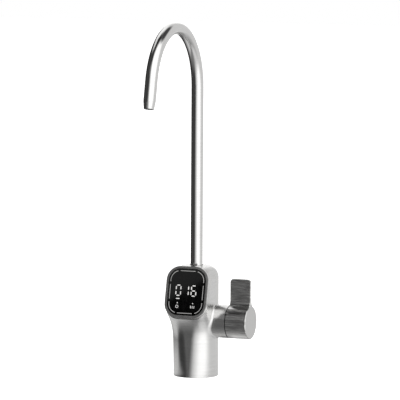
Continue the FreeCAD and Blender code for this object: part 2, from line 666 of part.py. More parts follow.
def spout_guide_ring():
    """The thin dark ring round the tube where it enters the head."""
    return tube_z(TOP_HOLE_R - FIT_GAP, TUBE_R + RUNNING_GAP, BUSHING_TOP, HEAD_TOP - GUIDE_SUNK)


def spout_lock_screw():
    """The screw behind the head: its tip runs in the spout's groove and keeps the spout from lifting out."""
    tip = Vector(0, LOCK_GROOVE_R + LOCK_TIP_GAP, LOCK_Z)
    shoulder = Vector(0, TUBE_R + RUNNING_GAP + LOCK_SHOULDER_GAP, LOCK_Z)
    back = Vector(0, COLUMN_R - LOCK_SUNK, LOCK_Z)
    screw = Part.makeCylinder(LOCK_TIP_R, back.y - tip.y, tip, Y_AXIS)
    screw = screw.fuse(Part.makeCylinder(LOCK_SCREW_R, back.y - shoulder.y, shoulder, Y_AXIS))
    return screw.cut(hex_socket(back, Vector(0, -1, 0)))


def spout_rod(radius, bottom, tip_radius):
    """A solid rod along the spout's line: up, round the arch and down to the tapered tip."""
    start = Vector(0, 0, ARCH_START)
    turn = 180 - ARCH_LEAN
    disc = Part.Face(Part.Wire(Part.makeCircle(radius, start, Z_AXIS)))
    arch = disc.revolve(Vector(0, -ARCH_R, ARCH_START), X_AXIS, turn)
    straight = Part.makeCylinder(radius, OUTLET_STRAIGHT - TIP_TAPER, ARCH_END, DOWN_SPOUT)
    taper = Part.makeCone(radius, tip_radius, TIP_TAPER, TAPER_START, DOWN_SPOUT)
    riser = cylinder_z(radius, bottom, ARCH_START)
    return riser.fuse([arch, straight, taper]).removeSplitter()


def spout_tube():
    """The gooseneck tube, drawn in at its outlet."""
    outside = spout_rod(TUBE_R, TUBE_BOTTOM, TIP_R)
    return outside.cut(spout_rod(TUBE_BORE_R, TUBE_BOTTOM, TIP_BORE_R))


def flow_former():
    """The plastic insert behind the tip, with small round passages."""
    insert = Part.makeCylinder(TUBE_BORE_R - FIT_GAP, FORMER_LENGTH)
    places = [Vector(0, 0, -OVER)]
    for i in range(FORMER_HOLES):
        angle = 2 * math.pi * i / FORMER_HOLES
        places.append(Vector(FORMER_RING_R * math.cos(angle), FORMER_RING_R * math.sin(angle), -OVER))
    for place in places:
        insert = insert.cut(Part.makeCylinder(FORMER_HOLE_R, FORMER_LENGTH + 2 * OVER, place))
    place = TAPER_START - DOWN_SPOUT * FORMER_LENGTH
    insert.Placement = FreeCAD.Placement(place, FreeCAD.Rotation(Z_AXIS, DOWN_SPOUT))
    return insert


def spout_root():
    """The turned fitting on the tube's lower end, with seal grooves and a groove for the locking screw."""
    root = cylinder_z(TUBE_R, ROOT_BOTTOM, TUBE_BOTTOM)
    root = root.fuse(cylinder_z(TUBE_BORE_R, TUBE_BOTTOM - OVER, TUBE_BOTTOM + ROOT_SPIGOT))
    root = root.cut(cylinder_z(ROOT_BORE_R, ROOT_BOTTOM - OVER, TUBE_BOTTOM + ROOT_SPIGOT + OVER))
    for z in root_seal_places():
        half_width = ROOT_SEAL_R + SEAL_SIDE_GAP
        root = root.cut(tube_z(TUBE_R + OVER, ROOT_GROOVE_R, z - half_width, z + half_width))
    half_groove = LOCK_GROOVE_H / 2
    return root.cut(tube_z(TUBE_R + OVER, LOCK_GROOVE_R, LOCK_Z - half_groove, LOCK_Z + half_groove))


def root_seal_places():
    """Heights of the two seals on the spout's root."""
    return [ROOT_BOTTOM + ROOT_SEAL_FIRST + i * ROOT_SEAL_STEP for i in range(ROOT_SEAL_COUNT)]


def spout_seals():
    """Two rubber rings between the spout and its bushing."""
    ring_radius = ROOT_GROOVE_R + ROOT_SEAL_R
    rings = [seal_ring(Vector(0, 0, z), Z_AXIS, ring_radius, ROOT_SEAL_R) for z in root_seal_places()]
    return Part.makeCompound(rings)


def display_bezel():
    """The dark metal frame round the glass, with a ledge behind the glass and a groove for its seal."""
    frame = display_plate(0, 0, BACK_N)
    front_edges = [edge for edge in frame.Edges if all(abs(v.Z) < 0.01 for v in edge.Vertexes)]
    frame = frame.makeFillet(BEZEL_EDGE_R, front_edges)
    frame = frame.cut(display_plate(BEZEL_RIM, OVER, GLASS_BACK))
    frame = frame.cut(display_plate(OPENING_INSET, OVER, BACK_N - OVER))
    return on_display(frame.cut(seal_band(0)))


def seal_band(play):
    """The band that the bezel's seal fills, at the back of the bezel."""
    top = BACK_N + SEAL_DEPTH - play
    outer = display_plate(SEAL_INSET + play, top, BACK_N)
    return outer.cut(display_plate(SEAL_INSET + SEAL_WIDTH - play, top + OVER, BACK_N - OVER))


def display_seal():
    """The rubber seal between the bezel and the head."""
    return on_display(seal_band(FIT_GAP))


def display_glass():
    """The black front glass, set a little below the bezel's rim."""
    return on_display(display_plate(BEZEL_RIM + GLASS_GAP, -GLASS_RECESS, GLASS_BACK))


def ring_bars(width, front, back):
    """The light ring: four straight bars and four corner bars, apart from each other."""
    inset = CARRIER_INSET + RING_INSET + (RING_WIDTH - width) / 2
    ring = display_plate(inset, front, back).cut(display_plate(inset + width, front + OVER, back - OVER))
    gap = RING_GAP + RING_WIDTH - width
    x = BEZEL_W / 2 - BEZEL_CORNER + RING_GAP / 2
    y = BEZEL_H / 2 - BEZEL_CORNER + RING_GAP / 2
    for side in (-1, 1):
        upright = Part.makeBox(gap, BEZEL_H, CLEAR, Vector(side * x - gap / 2, -BEZEL_H / 2, -CLEAR / 2))
        across = Part.makeBox(BEZEL_W, gap, CLEAR, Vector(-BEZEL_W / 2, side * y - gap / 2, -CLEAR / 2))
        ring = ring.cut(upright).cut(across)
    return ring


def light_ring():
    """Eight light bars in the carrier's slots, just behind the glass."""
    return on_display(ring_bars(RING_WIDTH - 2 * FIT_GAP, GLASS_BACK, GLASS_BACK - RING_DEPTH))


def digit_block(play):
    """The block of three digits, or with play the window it sits in."""
    width = DIGITS_W + 2 * play
    height = DIGITS_H + 2 * play
    depth = BOARD_DEPTH + GLASS_BACK + 2 * play
    return Part.makeBox(width, height, depth, Vector(-width / 2, DIGITS_Y - height / 2, -BOARD_DEPTH - play))


def digit_display():
    """Three seven-segment digits in one block on the circuit board."""
    return on_display(digit_block(0))


def lamps(radius, front):
    """Two round lights, side by side under the digits."""
    rods = []
    for x in (LAMP_LEFT_X, LAMP_RIGHT_X):
        rods.append(Part.makeCylinder(radius, BOARD_DEPTH + front, Vector(x, LAMP_Y, -BOARD_DEPTH)))
    return Part.makeCompound(rods)


def indicator_lights():
    """The two lights on the circuit board that reach up to the glass."""
    return on_display(lamps(LAMP_R, GLASS_BACK))


def post_places():
    """The four screw posts."""
    return [(x, y) for x in (-POST_X, POST_X) for y in (-POST_Y, POST_Y)]


def display_carrier():
    """The black tray behind the glass that holds lights, digits and board."""
    back = GLASS_BACK - CARRIER_DEPTH
    front_wall = GLASS_BACK - CARRIER_WALL
    tray = display_plate(CARRIER_INSET, GLASS_BACK, back)
    tray = tray.cut(display_plate(CARRIER_INSET + CARRIER_WALL, front_wall, back - OVER))
    tray = tray.cut(digit_block(FIT_GAP)).cut(lamps(LAMP_R + FIT_GAP, OVER))
    for x, y in post_places():
        post = Part.makeCylinder(POST_R, BOARD_DEPTH + front_wall + POST_SUNK, Vector(x, y, -BOARD_DEPTH))
        hole = Part.makeCylinder(SCREW_R, SCREW_LENGTH, Vector(x, y, -BOARD_DEPTH))
        tray = tray.fuse(post).cut(hole)
    slots = ring_bars(RING_WIDTH, GLASS_BACK + OVER, GLASS_BACK - RING_DEPTH)
    return on_display(tray.cut(slots))


def circuit_board():
    """The board behind the digits."""
    inset = CARRIER_INSET + BOARD_INSET
    board = display_plate(inset, -BOARD_DEPTH, -BOARD_DEPTH - BOARD_THICKNESS)
    for x, y in post_places():
        board = board.cut(Part.makeCylinder(SCREW_R + FIT_GAP, CLEAR, Vector(x, y, -CLEAR)))
    return on_display(board)


def board_screws():
    """Four small screws that hold the board to the carrier."""
    screws = []
    back = -BOARD_DEPTH - BOARD_THICKNESS
    for x, y in post_places():
        head = Part.makeCylinder(SCREW_HEAD_R, SCREW_HEAD_H, Vector(x, y, back - SCREW_HEAD_H))
        shank = Part.makeCylinder(SCREW_R, BOARD_THICKNESS + SCREW_LENGTH, Vector(x, y, back))
        screws.append(head.fuse(shank))
    return on_display(Part.makeCompound(screws))


def cable_socket():
    """The plug socket on the back of the board."""
    back = -BOARD_DEPTH - BOARD_THICKNESS
    left = -SOCKET_W / 2
    low = SOCKET_Y - SOCKET_H / 2
    block = box(left, -left, low, low + SOCKET_H, back - SOCKET_D, back)
    wall = SOCKET_WALL
    mouth = box(left + wall, -left - wall, low + wall, low + SOCKET_H - wall, back - SOCKET_D, back - wall)
    return on_display(block.cut(mouth))


PIECES = [
    column_shell, base_insert, base_gasket, valve_body, supply_stub, outlet_tube,
    seat_seal, fixed_ceramic_disc, cartridge_body, cartridge_nut, knob_guide_ring,
    display_bezel, display_seal, display_glass, light_ring, digit_display, indicator_lights,
    display_carrier, circuit_board, board_screws, cable_socket,
    spout_bushing, spout_guide_ring, spout_lock_screw,
    handle_knob, drive_adapter, set_screw, set_screw_cap, spindle, spindle_seals, moving_ceramic_disc,
    spout_tube, flow_former, spout_root, spout_seals,
]


def main():
    os.makedirs("parts", exist_ok=True)
    for piece in PIECES:
        shape = piece()
        shape.exportStep(f"parts/{piece.__name__}.step")
        print(piece.__name__, len(shape.Solids), shape.isValid(), round(shape.Volume, 1))


main()
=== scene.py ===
# %% [markdown]
# A filtered-water tap in brushed nickel: a slim column with a tilted display at the front, a knob with an
# upright lever at the right, and a gooseneck spout on top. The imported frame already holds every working
# piece at its real size and place. This lesson gives the visible pieces their finish, and models the outer
# shells once more as smooth meshes. It starts with the frame, because every size below is either read from
# it or named beside it.

# %% Load the frame
import json
import math

import bmesh
import bpy
from mathutils import Matrix, Vector


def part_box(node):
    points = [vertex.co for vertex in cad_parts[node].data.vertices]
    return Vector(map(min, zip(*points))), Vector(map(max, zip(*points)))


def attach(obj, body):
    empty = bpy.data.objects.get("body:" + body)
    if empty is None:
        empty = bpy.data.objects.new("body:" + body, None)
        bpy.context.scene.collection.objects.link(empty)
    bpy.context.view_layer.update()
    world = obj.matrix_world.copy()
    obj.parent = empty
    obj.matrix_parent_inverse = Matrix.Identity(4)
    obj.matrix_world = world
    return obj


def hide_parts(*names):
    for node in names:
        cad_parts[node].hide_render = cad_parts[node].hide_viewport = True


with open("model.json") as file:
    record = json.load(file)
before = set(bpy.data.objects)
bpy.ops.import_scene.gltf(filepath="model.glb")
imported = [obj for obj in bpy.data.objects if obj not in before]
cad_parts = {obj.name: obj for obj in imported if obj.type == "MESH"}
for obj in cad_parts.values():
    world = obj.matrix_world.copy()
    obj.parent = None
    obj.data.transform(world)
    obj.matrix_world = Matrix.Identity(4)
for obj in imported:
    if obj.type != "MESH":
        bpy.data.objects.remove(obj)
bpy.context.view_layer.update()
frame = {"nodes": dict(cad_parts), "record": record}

MM = 0.001
nodes = frame["nodes"]
collection = bpy.context.scene.collection
print("nodes in the frame:", len(nodes))

# %% [markdown]
# Half of the work of a product picture is its view. A lens can be found from a photograph by laying known
# heights and widths of the object over it, and that was done here: the place, the aim and the small roll
# below are its result. The camera stands far away with a long lens, which is how such taps are
# photographed, so upright edges stay upright.

# %% Camera
CAMERA_AT = Vector((0.97840, -2.47209, 0.41562))
CAMERA_AIM = Vector((0.00236, 0.00093, 0.14678))
CAMERA_ROLL = math.radians(0.294)
SENSOR_MM = 36.0
LENS_MM = 289.38

camera_back = (CAMERA_AT - CAMERA_AIM).normalized()
camera_data = bpy.data.cameras.new("camera")
camera_data.sensor_fit = "HORIZONTAL"
camera_data.sensor_width = SENSOR_MM
camera_data.lens = LENS_MM
camera = bpy.data.objects.new("camera", camera_data)
turn = camera_back.to_track_quat("Z", "Y").to_matrix().to_4x4()
camera.matrix_world = Matrix.Translation(CAMERA_AT) @ turn @ Matrix.Rotation(CAMERA_ROLL, 4, "Z")
collection.objects.link(camera)
bpy.context.scene.camera = camera
bpy.context.scene.view_settings.view_transform = "Standard"
camera_azimuth = math.degrees(math.atan2(camera_back.y, camera_back.x))
print("camera stands at azimuth", round(camera_azimuth, 2), "degrees")

# %% [markdown]
# Finishes, floor and studio are all built from nodes. A few small functions place a node, give each input a
# value or a link, and hand back the socket that the next node needs.

# %% Node helpers
def feed(tree, socket, value):
    """Joins an input to another node's output, or gives it a plain value."""
    if isinstance(value, bpy.types.NodeSocket):
        tree.links.new(value, socket)
    else:
        socket.default_value = value


def add_node(tree, kind, **values):
    """A node of this kind. Names with an initial capital are its inputs, the others its settings."""
    node = tree.nodes.new(kind)
    for name, value in values.items():
        if name[0].isupper():
            feed(tree, node.inputs[name.replace("_", " ")], value)
        else:
            setattr(node, name, value)
    return node


def result(tree, kind, *values, **settings):
    """The result of a node whose first inputs are joined to these sockets or take these values."""
    node = add_node(tree, kind, **settings)
    for socket, value in zip([socket for socket in node.inputs if socket.enabled], values):
        feed(tree, socket, value)
    return next(socket for socket in node.outputs if socket.enabled)


def add_math(tree, operation, *values):
    """The result of a math node on sockets or numbers."""
    return result(tree, "ShaderNodeMath", *values, operation=operation)


def add_vector_math(tree, operation, *values):
    """The result of a vector math node, which is a number for a length or a dot product."""
    return result(tree, "ShaderNodeVectorMath", *values, operation=operation)


def add_range(tree, value, low, high, new_low=0.0, new_high=1.0):
    """Carries a value from one range to another and holds it there."""
    limits = {"From_Min": low, "From_Max": high, "To_Min": new_low, "To_Max": new_high}
    return add_node(tree, "ShaderNodeMapRange", Value=value, **limits).outputs["Result"]


def add_mix(tree, share, first, second):
    """Mixes two colours, each a socket or a tuple of four numbers, by a share that is a socket."""
    return result(tree, "ShaderNodeMix", share, first, second, data_type="RGBA")


def grey(level):
    """A neutral colour of this linear level."""
    return (level, level, level, 1.0)

# %% [markdown]
# Polished metal has hardly a colour of its own: it shows the room. A studio gives it bright walls and dark
# cards, whose edges become the long bands on a tube. One world shader draws them all, with less noise than
# planes would. The walls are stops round the compass, each a bearing from the camera, in degrees to its
# right, and a brightness, between a dark ceiling and a dim ground. The cards are round with soft edges, and
# a later one covers an earlier one. Each stands where the photograph shows a reflection.

# %% Studio walls and cards
STUDIO_BANDS = [
    (-180, 0.75), (-176, 0.03), (-120, 0.03), (-96, 0.07), (-80, 0.05), (-60, 0.045), (-50, 0.065),
    (-42, 0.115), (-38, 0.20), (-35, 0.26), (-28, 0.46), (-20, 0.72), (-10, 0.92), (0, 1.10), (12, 1.36),
    (28, 1.52), (46, 1.44), (58, 1.10), (70, 0.88), (84, 0.75), (150, 0.74), (165, 0.80),
]
CEILING = 0.03
GROUND = 0.28
CEILING_FROM, CEILING_FULL = 60, 80
GROUND_FROM, GROUND_FULL = -25, -80
# Each card has a bearing, a height, a half width, a half width with its soft edge, and a brightness.
CARDS = [
    (32, 34, 36, 54, 1.42),
    (122, 57, 15, 26, 0.06),
    (178, 20, 12, 20, 1.25),
    (-160, 45, 14, 24, 1.15),
    (-122, 50, 5, 14, 1.00),
    (-47, 36, 5, 14, 0.22),
    (50, -60, 8, 26, 0.78),
    (170, -36, 9, 22, 0.15),
]


def compass_share(bearing):
    """Where a bearing from the camera lies on a ramp that runs round the compass."""
    return ((bearing + camera_azimuth + 180) / 360) % 1.0


def level_at(stops, place):
    """The level at a place between stops, which are pairs of a place and a level."""
    for (p0, v0), (p1, v1) in zip(stops, stops[1:]):
        if place <= p1:
            return v0 + (v1 - v0) * (place - p0) / (p1 - p0)
    return stops[-1][1]


def wall_level(bearing):
    """The brightness of the walls at a bearing."""
    round_again = [(STUDIO_BANDS[0][0] + 360, STUDIO_BANDS[0][1])]
    return level_at(STUDIO_BANDS + round_again, (bearing + 180) % 360 - 180)


print("stops:", len(STUDIO_BANDS), "cards:", len(CARDS), "behind the camera:", round(wall_level(0), 2))

# %% [markdown]
# The world shader asks for a direction's bearing, which a radial gradient gives, and for its height, which
# is its Z. A card covers all directions within so many degrees of its own, which a dot product tells. The
# camera sees plain white instead, so the background is white while the metal shows the studio.

# %% Studio world
world = bpy.data.worlds.new("studio")
bpy.context.scene.world = world
world.use_nodes = True
tree = world.node_tree
tree.nodes.clear()
direction = add_node(tree, "ShaderNodeTexCoord").outputs["Generated"]
compass = add_node(tree, "ShaderNodeTexGradient", gradient_type="RADIAL", Vector=direction)
walls = add_node(tree, "ShaderNodeValToRGB", Fac=compass.outputs["Fac"])
ramp = walls.color_ramp
ramp.elements[0].color = ramp.elements[1].color = grey(wall_level(-180 - camera_azimuth))
for bearing, level in STUDIO_BANDS:
    ramp.elements.new(compass_share(bearing)).color = grey(level)
upward = add_node(tree, "ShaderNodeSeparateXYZ", Vector=direction).outputs["Z"]
studio = walls.outputs["Color"]
for limits, level in (((CEILING_FROM, CEILING_FULL), CEILING), ((GROUND_FROM, GROUND_FULL), GROUND)):
    share = add_range(tree, upward, *[math.sin(math.radians(limit)) for limit in limits])
    studio = add_mix(tree, share, studio, grey(level))
for bearing, height, half_width, half_fade, level in CARDS:
    heading, rise = math.radians(bearing + camera_azimuth), math.radians(height)
    card_at = (math.cos(heading) * math.cos(rise), math.sin(heading) * math.cos(rise), math.sin(rise))
    limits = [math.cos(math.radians(half)) for half in (half_fade, half_width)]
    share = add_range(tree, add_vector_math(tree, "DOT_PRODUCT", direction, card_at), *limits)
    studio = add_mix(tree, share, studio, grey(level))
seen = add_mix(tree, add_node(tree, "ShaderNodeLightPath").outputs["Is Camera Ray"], studio, grey(1.0))
backdrop = add_node(tree, "ShaderNodeBackground", Color=seen, Strength=1.0)
add_node(tree, "ShaderNodeOutputWorld", Surface=backdrop.outputs[0])
print("world nodes:", len(tree.nodes))

# %% [markdown]
# The floor is plain and pale. Part of its white is its own glow for the camera and the rest is the light on
# it, so it is white in the open and keeps a soft shadow at the foot. In the photograph the walls' dark
# bands run on down to the foot, so reflections pass through this floor, but for one pale sheet that lights
# the knob from below and the column's left edge. The sheet fades out far from the foot, towards the front,
# and beyond the knob. Close to the column's middle it fades out too, which is a painted shadow of the
# column on the sheet.

# %% Floor finish
FLOOR_GLOW = 0.72
FLOOR_COLOUR = (0.86, 0.86, 0.86, 1.0)
SHEET_GLOW = 0.70
SHEET_REACH = (0.30, 0.10)
SHEET_FRONT = (-0.035, -0.005)
SHEET_SLANT = -0.25
# painted shadow of the column: the sheet fades out where x is close to the column's middle
SHEET_COLUMN_SHADOW = (0.010, 0.022)
SHEET_END = (0.044, 0.034)


def new_material(name):
    """An empty node material and its tree."""
    material = bpy.data.materials.new(name)
    material.use_nodes = True
    material.node_tree.nodes.clear()
    return material, material.node_tree


def place_socket(tree):
    """The object's own coordinates, which stay with the piece when it moves."""
    return add_node(tree, "ShaderNodeTexCoord").outputs["Object"]


floor_finish, tree = new_material("pale_floor")
rays = add_node(tree, "ShaderNodeLightPath").outputs
place = place_socket(tree)
axes = add_node(tree, "ShaderNodeSeparateXYZ", Vector=place).outputs
slant = add_math(tree, "MULTIPLY", axes["X"], SHEET_SLANT)
edges = [
    add_range(tree, add_vector_math(tree, "LENGTH", place), *SHEET_REACH),
    add_range(tree, add_math(tree, "ADD", axes["Y"], slant), *SHEET_FRONT),
    # painted shadow of the column on the sheet
    add_range(tree, add_math(tree, "ABSOLUTE", axes["X"]), *SHEET_COLUMN_SHADOW),
    add_range(tree, axes["X"], *SHEET_END),
]
on_sheet = rays["Is Glossy Ray"]
for edge in edges:
    on_sheet = add_math(tree, "MULTIPLY", on_sheet, edge)
matt = add_node(tree, "ShaderNodeBsdfDiffuse", Color=FLOOR_COLOUR).outputs[0]
glow = add_node(tree, "ShaderNodeEmission", Strength=FLOOR_GLOW).outputs[0]
glowing = result(tree, "ShaderNodeAddShader", matt, glow)
clear = add_node(tree, "ShaderNodeBsdfTransparent").outputs[0]
sheet = add_node(tree, "ShaderNodeEmission", Strength=SHEET_GLOW).outputs[0]
to_camera = result(tree, "ShaderNodeMixShader", rays["Is Camera Ray"], matt, glowing)
to_metal = result(tree, "ShaderNodeMixShader", on_sheet, clear, sheet)
passing = add_math(tree, "MAXIMUM", rays["Is Glossy Ray"], rays["Is Shadow Ray"])
surface = result(tree, "ShaderNodeMixShader", passing, to_camera, to_metal)
add_node(tree, "ShaderNodeOutputMaterial", Surface=surface)
print("floor finish:", len(tree.nodes), "nodes")

# %% [markdown]
# The floor is one square. A large softbox to the upper left of the viewer gives it its shadow. Reflections
# don't show the lamp, because the studio's walls stand for it there.

# %% Floor and lamp
FLOOR_HALF = 6.0
LAMP_AT = Vector((-0.5, -0.7, 1.6))
LAMP_SIZE = 1.2
LAMP_WATTS = 9.0


def stage_sheet(name, finish, corners):
    """A flat sheet of the stage with four corners."""
    bm = bmesh.new()
    bmesh.ops.create_grid(bm, x_segments=1, y_segments=1, size=1.0)
    for vertex, corner in zip(bm.verts, corners):
        vertex.co = corner
    mesh = bpy.data.meshes.new(name)
    bm.to_mesh(mesh)
    bm.free()
    mesh.materials.append(finish)
    sheet = bpy.data.objects.new(name, mesh)
    collection.objects.link(sheet)
    return sheet


sides = (-FLOOR_HALF, FLOOR_HALF)
stage_sheet("floor", floor_finish, [Vector((x, y, 0.0)) for y in sides for x in sides])
lamp_data = bpy.data.lights.new("softbox", "AREA")
lamp_data.shape = "SQUARE"
lamp_data.size = LAMP_SIZE
lamp_data.energy = LAMP_WATTS
lamp = bpy.data.objects.new("softbox", lamp_data)
lamp.matrix_world = Matrix.Translation(LAMP_AT) @ LAMP_AT.to_track_quat("Z", "Y").to_matrix().to_4x4()
lamp.visible_glossy = False
collection.objects.link(lamp)
print("floor", 2 * FLOOR_HALF, "m wide, lamp", round(LAMP_AT.length, 2), "m from the foot")

# %% [markdown]
# Brushed metal is a smooth surface with fine scratches that all run one way. They change its tone a little,
# make some streaks duller, and tip the light. A photographed texture would do, but noise stretched along
# the scratches gives all three at any size, and each metal can have its own values. So it is a node group,
# with the streaks along X and Y and their width along Z.

# %% Node group for brushed streaks
BROAD_STREAK_SHARE = 0.14


def group_with(name, inputs, outputs):
    """A new shader node group with these named sockets, each a name, a kind and, for an input, a value."""
    group = bpy.data.node_groups.new(name, "ShaderNodeTree")
    for label, kind, value in inputs:
        socket = group.interface.new_socket(name=label, in_out="INPUT", socket_type="NodeSocket" + kind)
        if value is not None:
            socket.default_value = value
    for label, kind in outputs:
        group.interface.new_socket(name=label, in_out="OUTPUT", socket_type="NodeSocket" + kind)
    start = group.nodes.new("NodeGroupInput").outputs
    end = group.nodes.new("NodeGroupOutput").inputs
    return group, start, end


def stretched_noise(tree, place, along, across, detail=2.0):
    """Noise drawn out along X and Y. Along and across say how many features it has per metre."""
    spread = add_node(tree, "ShaderNodeCombineXYZ", X=along, Y=along, Z=across)
    scaled = add_vector_math(tree, "MULTIPLY", place, spread.outputs[0])
    noise = add_node(tree, "ShaderNodeTexNoise", Vector=scaled, Scale=1.0, Detail=detail, Roughness=0.55)
    return noise.outputs["Fac"]


streaks, start, end = group_with(
    "brushed_streaks",
    [("Place", "Vector", None), ("Along", "Float", 40.0), ("Across", "Float", 5000.0)],
    [("Tone", "Float"), ("Dullness", "Float"), ("Height", "Float")],
)
fine = stretched_noise(streaks, start["Place"], start["Along"], start["Across"], detail=3.0)
wide_across = add_math(streaks, "MULTIPLY", start["Across"], BROAD_STREAK_SHARE)
broad = stretched_noise(streaks, start["Place"], start["Along"], wide_across)
halves = [add_math(streaks, "MULTIPLY", noise, 0.5) for noise in (fine, broad)]
feed(streaks, end["Tone"], add_math(streaks, "ADD", *halves))
feed(streaks, end["Dullness"], broad)
feed(streaks, end["Height"], fine)
print("group", streaks.name, "has", len(streaks.nodes), "nodes")

# %% [markdown]
# Any tap that has been handled carries faint smudges and a little dust, which change how dull the surface
# is and not its colour. They are large, soft and without direction, so a second group makes them from one
# cloudy noise.

# %% Node group for handling marks
SMUDGE_FROM, SMUDGE_FULL = 0.42, 0.68
smudges, start, end = group_with(
    "handling_marks",
    [("Place", "Vector", None), ("Size", "Float", 60.0)],
    [("Mask", "Float")],
)
look = {"Detail": 3.0, "Roughness": 0.6, "Distortion": 0.8}
cloud = add_node(smudges, "ShaderNodeTexNoise", Vector=start["Place"], Scale=start["Size"], **look)
feed(smudges, end["Mask"], add_range(smudges, cloud.outputs["Fac"], SMUDGE_FROM, SMUDGE_FULL))
print("group", smudges.name, "has", len(smudges.nodes), "nodes")

# %% [markdown]
# Rubber, moulded plastic and ceramic have a fine grain with no direction. One group serves them all. It
# gives a height for the bump, and a mask for tone and dullness.

# %% Node group for a moulded grain
grain, start, end = group_with(
    "moulded_grain",
    [("Place", "Vector", None), ("Size", "Float", 2500.0)],
    [("Mask", "Float"), ("Height", "Float")],
)
scales = {"Mask": {"Scale": 180.0}, "Height": {"Scale": start["Size"], "Roughness": 0.7}}
for name, look in scales.items():
    noise = add_node(grain, "ShaderNodeTexNoise", Vector=start["Place"], Detail=2.0, **look)
    feed(grain, end[name], noise.outputs["Fac"])
print("group", grain.name, "has", len(grain.nodes), "nodes")

# %% [markdown]
# Each finish is a material of its own round those groups. A Principled shader takes the tone as its base
# colour, the dullness as its roughness and the height through a bump, while numbers that are the same all
# over stay on the shader.

# %% Material helpers
NOISE_LOW, NOISE_HIGH = 0.3, 0.7
PATCH_LOW, PATCH_HIGH = 0.35, 0.65


def warm_grey(tone, warmth=1.0):
    """A grey with a little less blue, as nickel and steel have."""
    return (tone, tone * (2 + warmth) / 3, tone * warmth, 1.0)


def add_group(tree, group, place, **values):
    """Places a node group in a material with its own values, and gives its outputs."""
    return add_node(tree, "ShaderNodeGroup", node_tree=group, Place=place, **values).outputs


def finish_shader(tree, **values):
    """The Principled shader with its output."""
    shader = add_node(tree, "ShaderNodeBsdfPrincipled", **values)
    add_node(tree, "ShaderNodeOutputMaterial", Surface=shader.outputs[0])
    return shader


def add_bump(tree, height, strength, distance):
    """The surface's direction, tipped by a height."""
    return add_node(tree, "ShaderNodeBump", Height=height, Strength=strength, Distance=distance).outputs[0]


def cover_tone(material, mask, tone):
    """Covers a finish's base colour with another tone where the mask is 1."""
    tree = material.node_tree
    shader = next(node for node in tree.nodes if node.type == "BSDF_PRINCIPLED")
    colour = shader.inputs["Base Color"]
    feed(tree, colour, add_mix(tree, mask, colour.links[0].from_socket, tone))
    return shader


print("nickel at half brightness:", [round(c, 3) for c in warm_grey(0.5, 0.985)[:3]])

# %% [markdown]
# Nickel plate is a neutral, faintly warm grey. The brushing spreads a reflection across the scratches,
# which is what the shader's anisotropy does. Its tangent is given as one nearly upright direction, because
# the default one depends on a UV map. The lever is brushed coarsest, but its flat end faces are plain in
# the photograph, so a mask from the surface's own direction takes tone and height back there.

# %% Nickel finishes
NEARLY_UPRIGHT = {"X": 0.02, "Y": 0.03, "Z": 1.0}
END_FACING, SIDE_FACING = 0.95, 0.70
WEAR = 0.03


def side_mask(tree):
    """A mask that is 0 on faces square to X and 1 on those that look sideways."""
    normal = add_node(tree, "ShaderNodeTexCoord").outputs["Normal"]
    facing = add_node(tree, "ShaderNodeSeparateXYZ", Vector=normal).outputs["X"]
    return add_range(tree, add_math(tree, "ABSOLUTE", facing), END_FACING, SIDE_FACING)


def brushed_metal(name, tones, dull, along, across, depth, plain_ends=False, **values):
    """A brushed metal with two tones and two roughnesses. Plain ends leave faces square to X smooth."""
    material, tree = new_material(name)
    place = place_socket(tree)
    lines = add_group(tree, streaks, place, Along=along, Across=across)
    spread = add_range(tree, lines["Tone"], NOISE_LOW, NOISE_HIGH)
    height = lines["Height"]
    if plain_ends:
        sides = side_mask(tree)
        uneven = add_math(tree, "MULTIPLY", add_math(tree, "SUBTRACT", spread, 0.5), sides)
        spread = add_math(tree, "ADD", uneven, 0.5)
        height = add_math(tree, "MULTIPLY", height, sides)
    worn = add_math(tree, "MULTIPLY", add_group(tree, smudges, place)["Mask"], WEAR)
    base = add_range(tree, lines["Dullness"], NOISE_LOW, NOISE_HIGH, *dull)
    finish_shader(
        tree, Metallic=1.0, Base_Color=add_mix(tree, spread, *tones),
        Roughness=add_math(tree, "ADD", base, worn), Normal=add_bump(tree, height, 1.0, depth),
        Tangent=add_node(tree, "ShaderNodeCombineXYZ", **NEARLY_UPRIGHT).outputs[0], **values,
    )
    return material


body_nickel = brushed_metal(
    "body_nickel", (warm_grey(0.66, 0.985), warm_grey(0.76, 0.985)), dull=(0.20, 0.24),
    along=60.0, across=6000.0, depth=0.0008 * MM, Anisotropic=0.6,
)
lever_nickel = brushed_metal(
    "lever_nickel", (warm_grey(0.30, 0.98), warm_grey(0.96, 0.98)), dull=(0.18, 0.23),
    along=90.0, across=5600.0, depth=0.0018 * MM, plain_ends=True, Anisotropic=0.3,
)
spout_nickel = brushed_metal(
    "spout_nickel", (warm_grey(0.70, 0.985), warm_grey(0.77, 0.985)), dull=(0.09, 0.13),
    along=90.0, across=8000.0, depth=0.0004 * MM,
)
print("nickel finishes:", body_nickel.name, lever_nickel.name, spout_nickel.name)

# %% [markdown]
# The working pieces inside are turned brass and stainless steel. A lathe leaves fine rings round its axis,
# so the same streaks are laid on coordinates in which the distance from the axis stands for the width of a
# streak.

# %% Turned metals
BRASS = ((0.56, 0.37, 0.14, 1.0), (0.78, 0.57, 0.27, 1.0))
STEEL = (warm_grey(0.42), warm_grey(0.60))
GROOVE_DEPTH = 0.01 * MM
knob_low, knob_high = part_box("handle_knob")
KNOB_R = (knob_high.y - knob_low.y) / 2
KNOB_Z = knob_low.z + KNOB_R


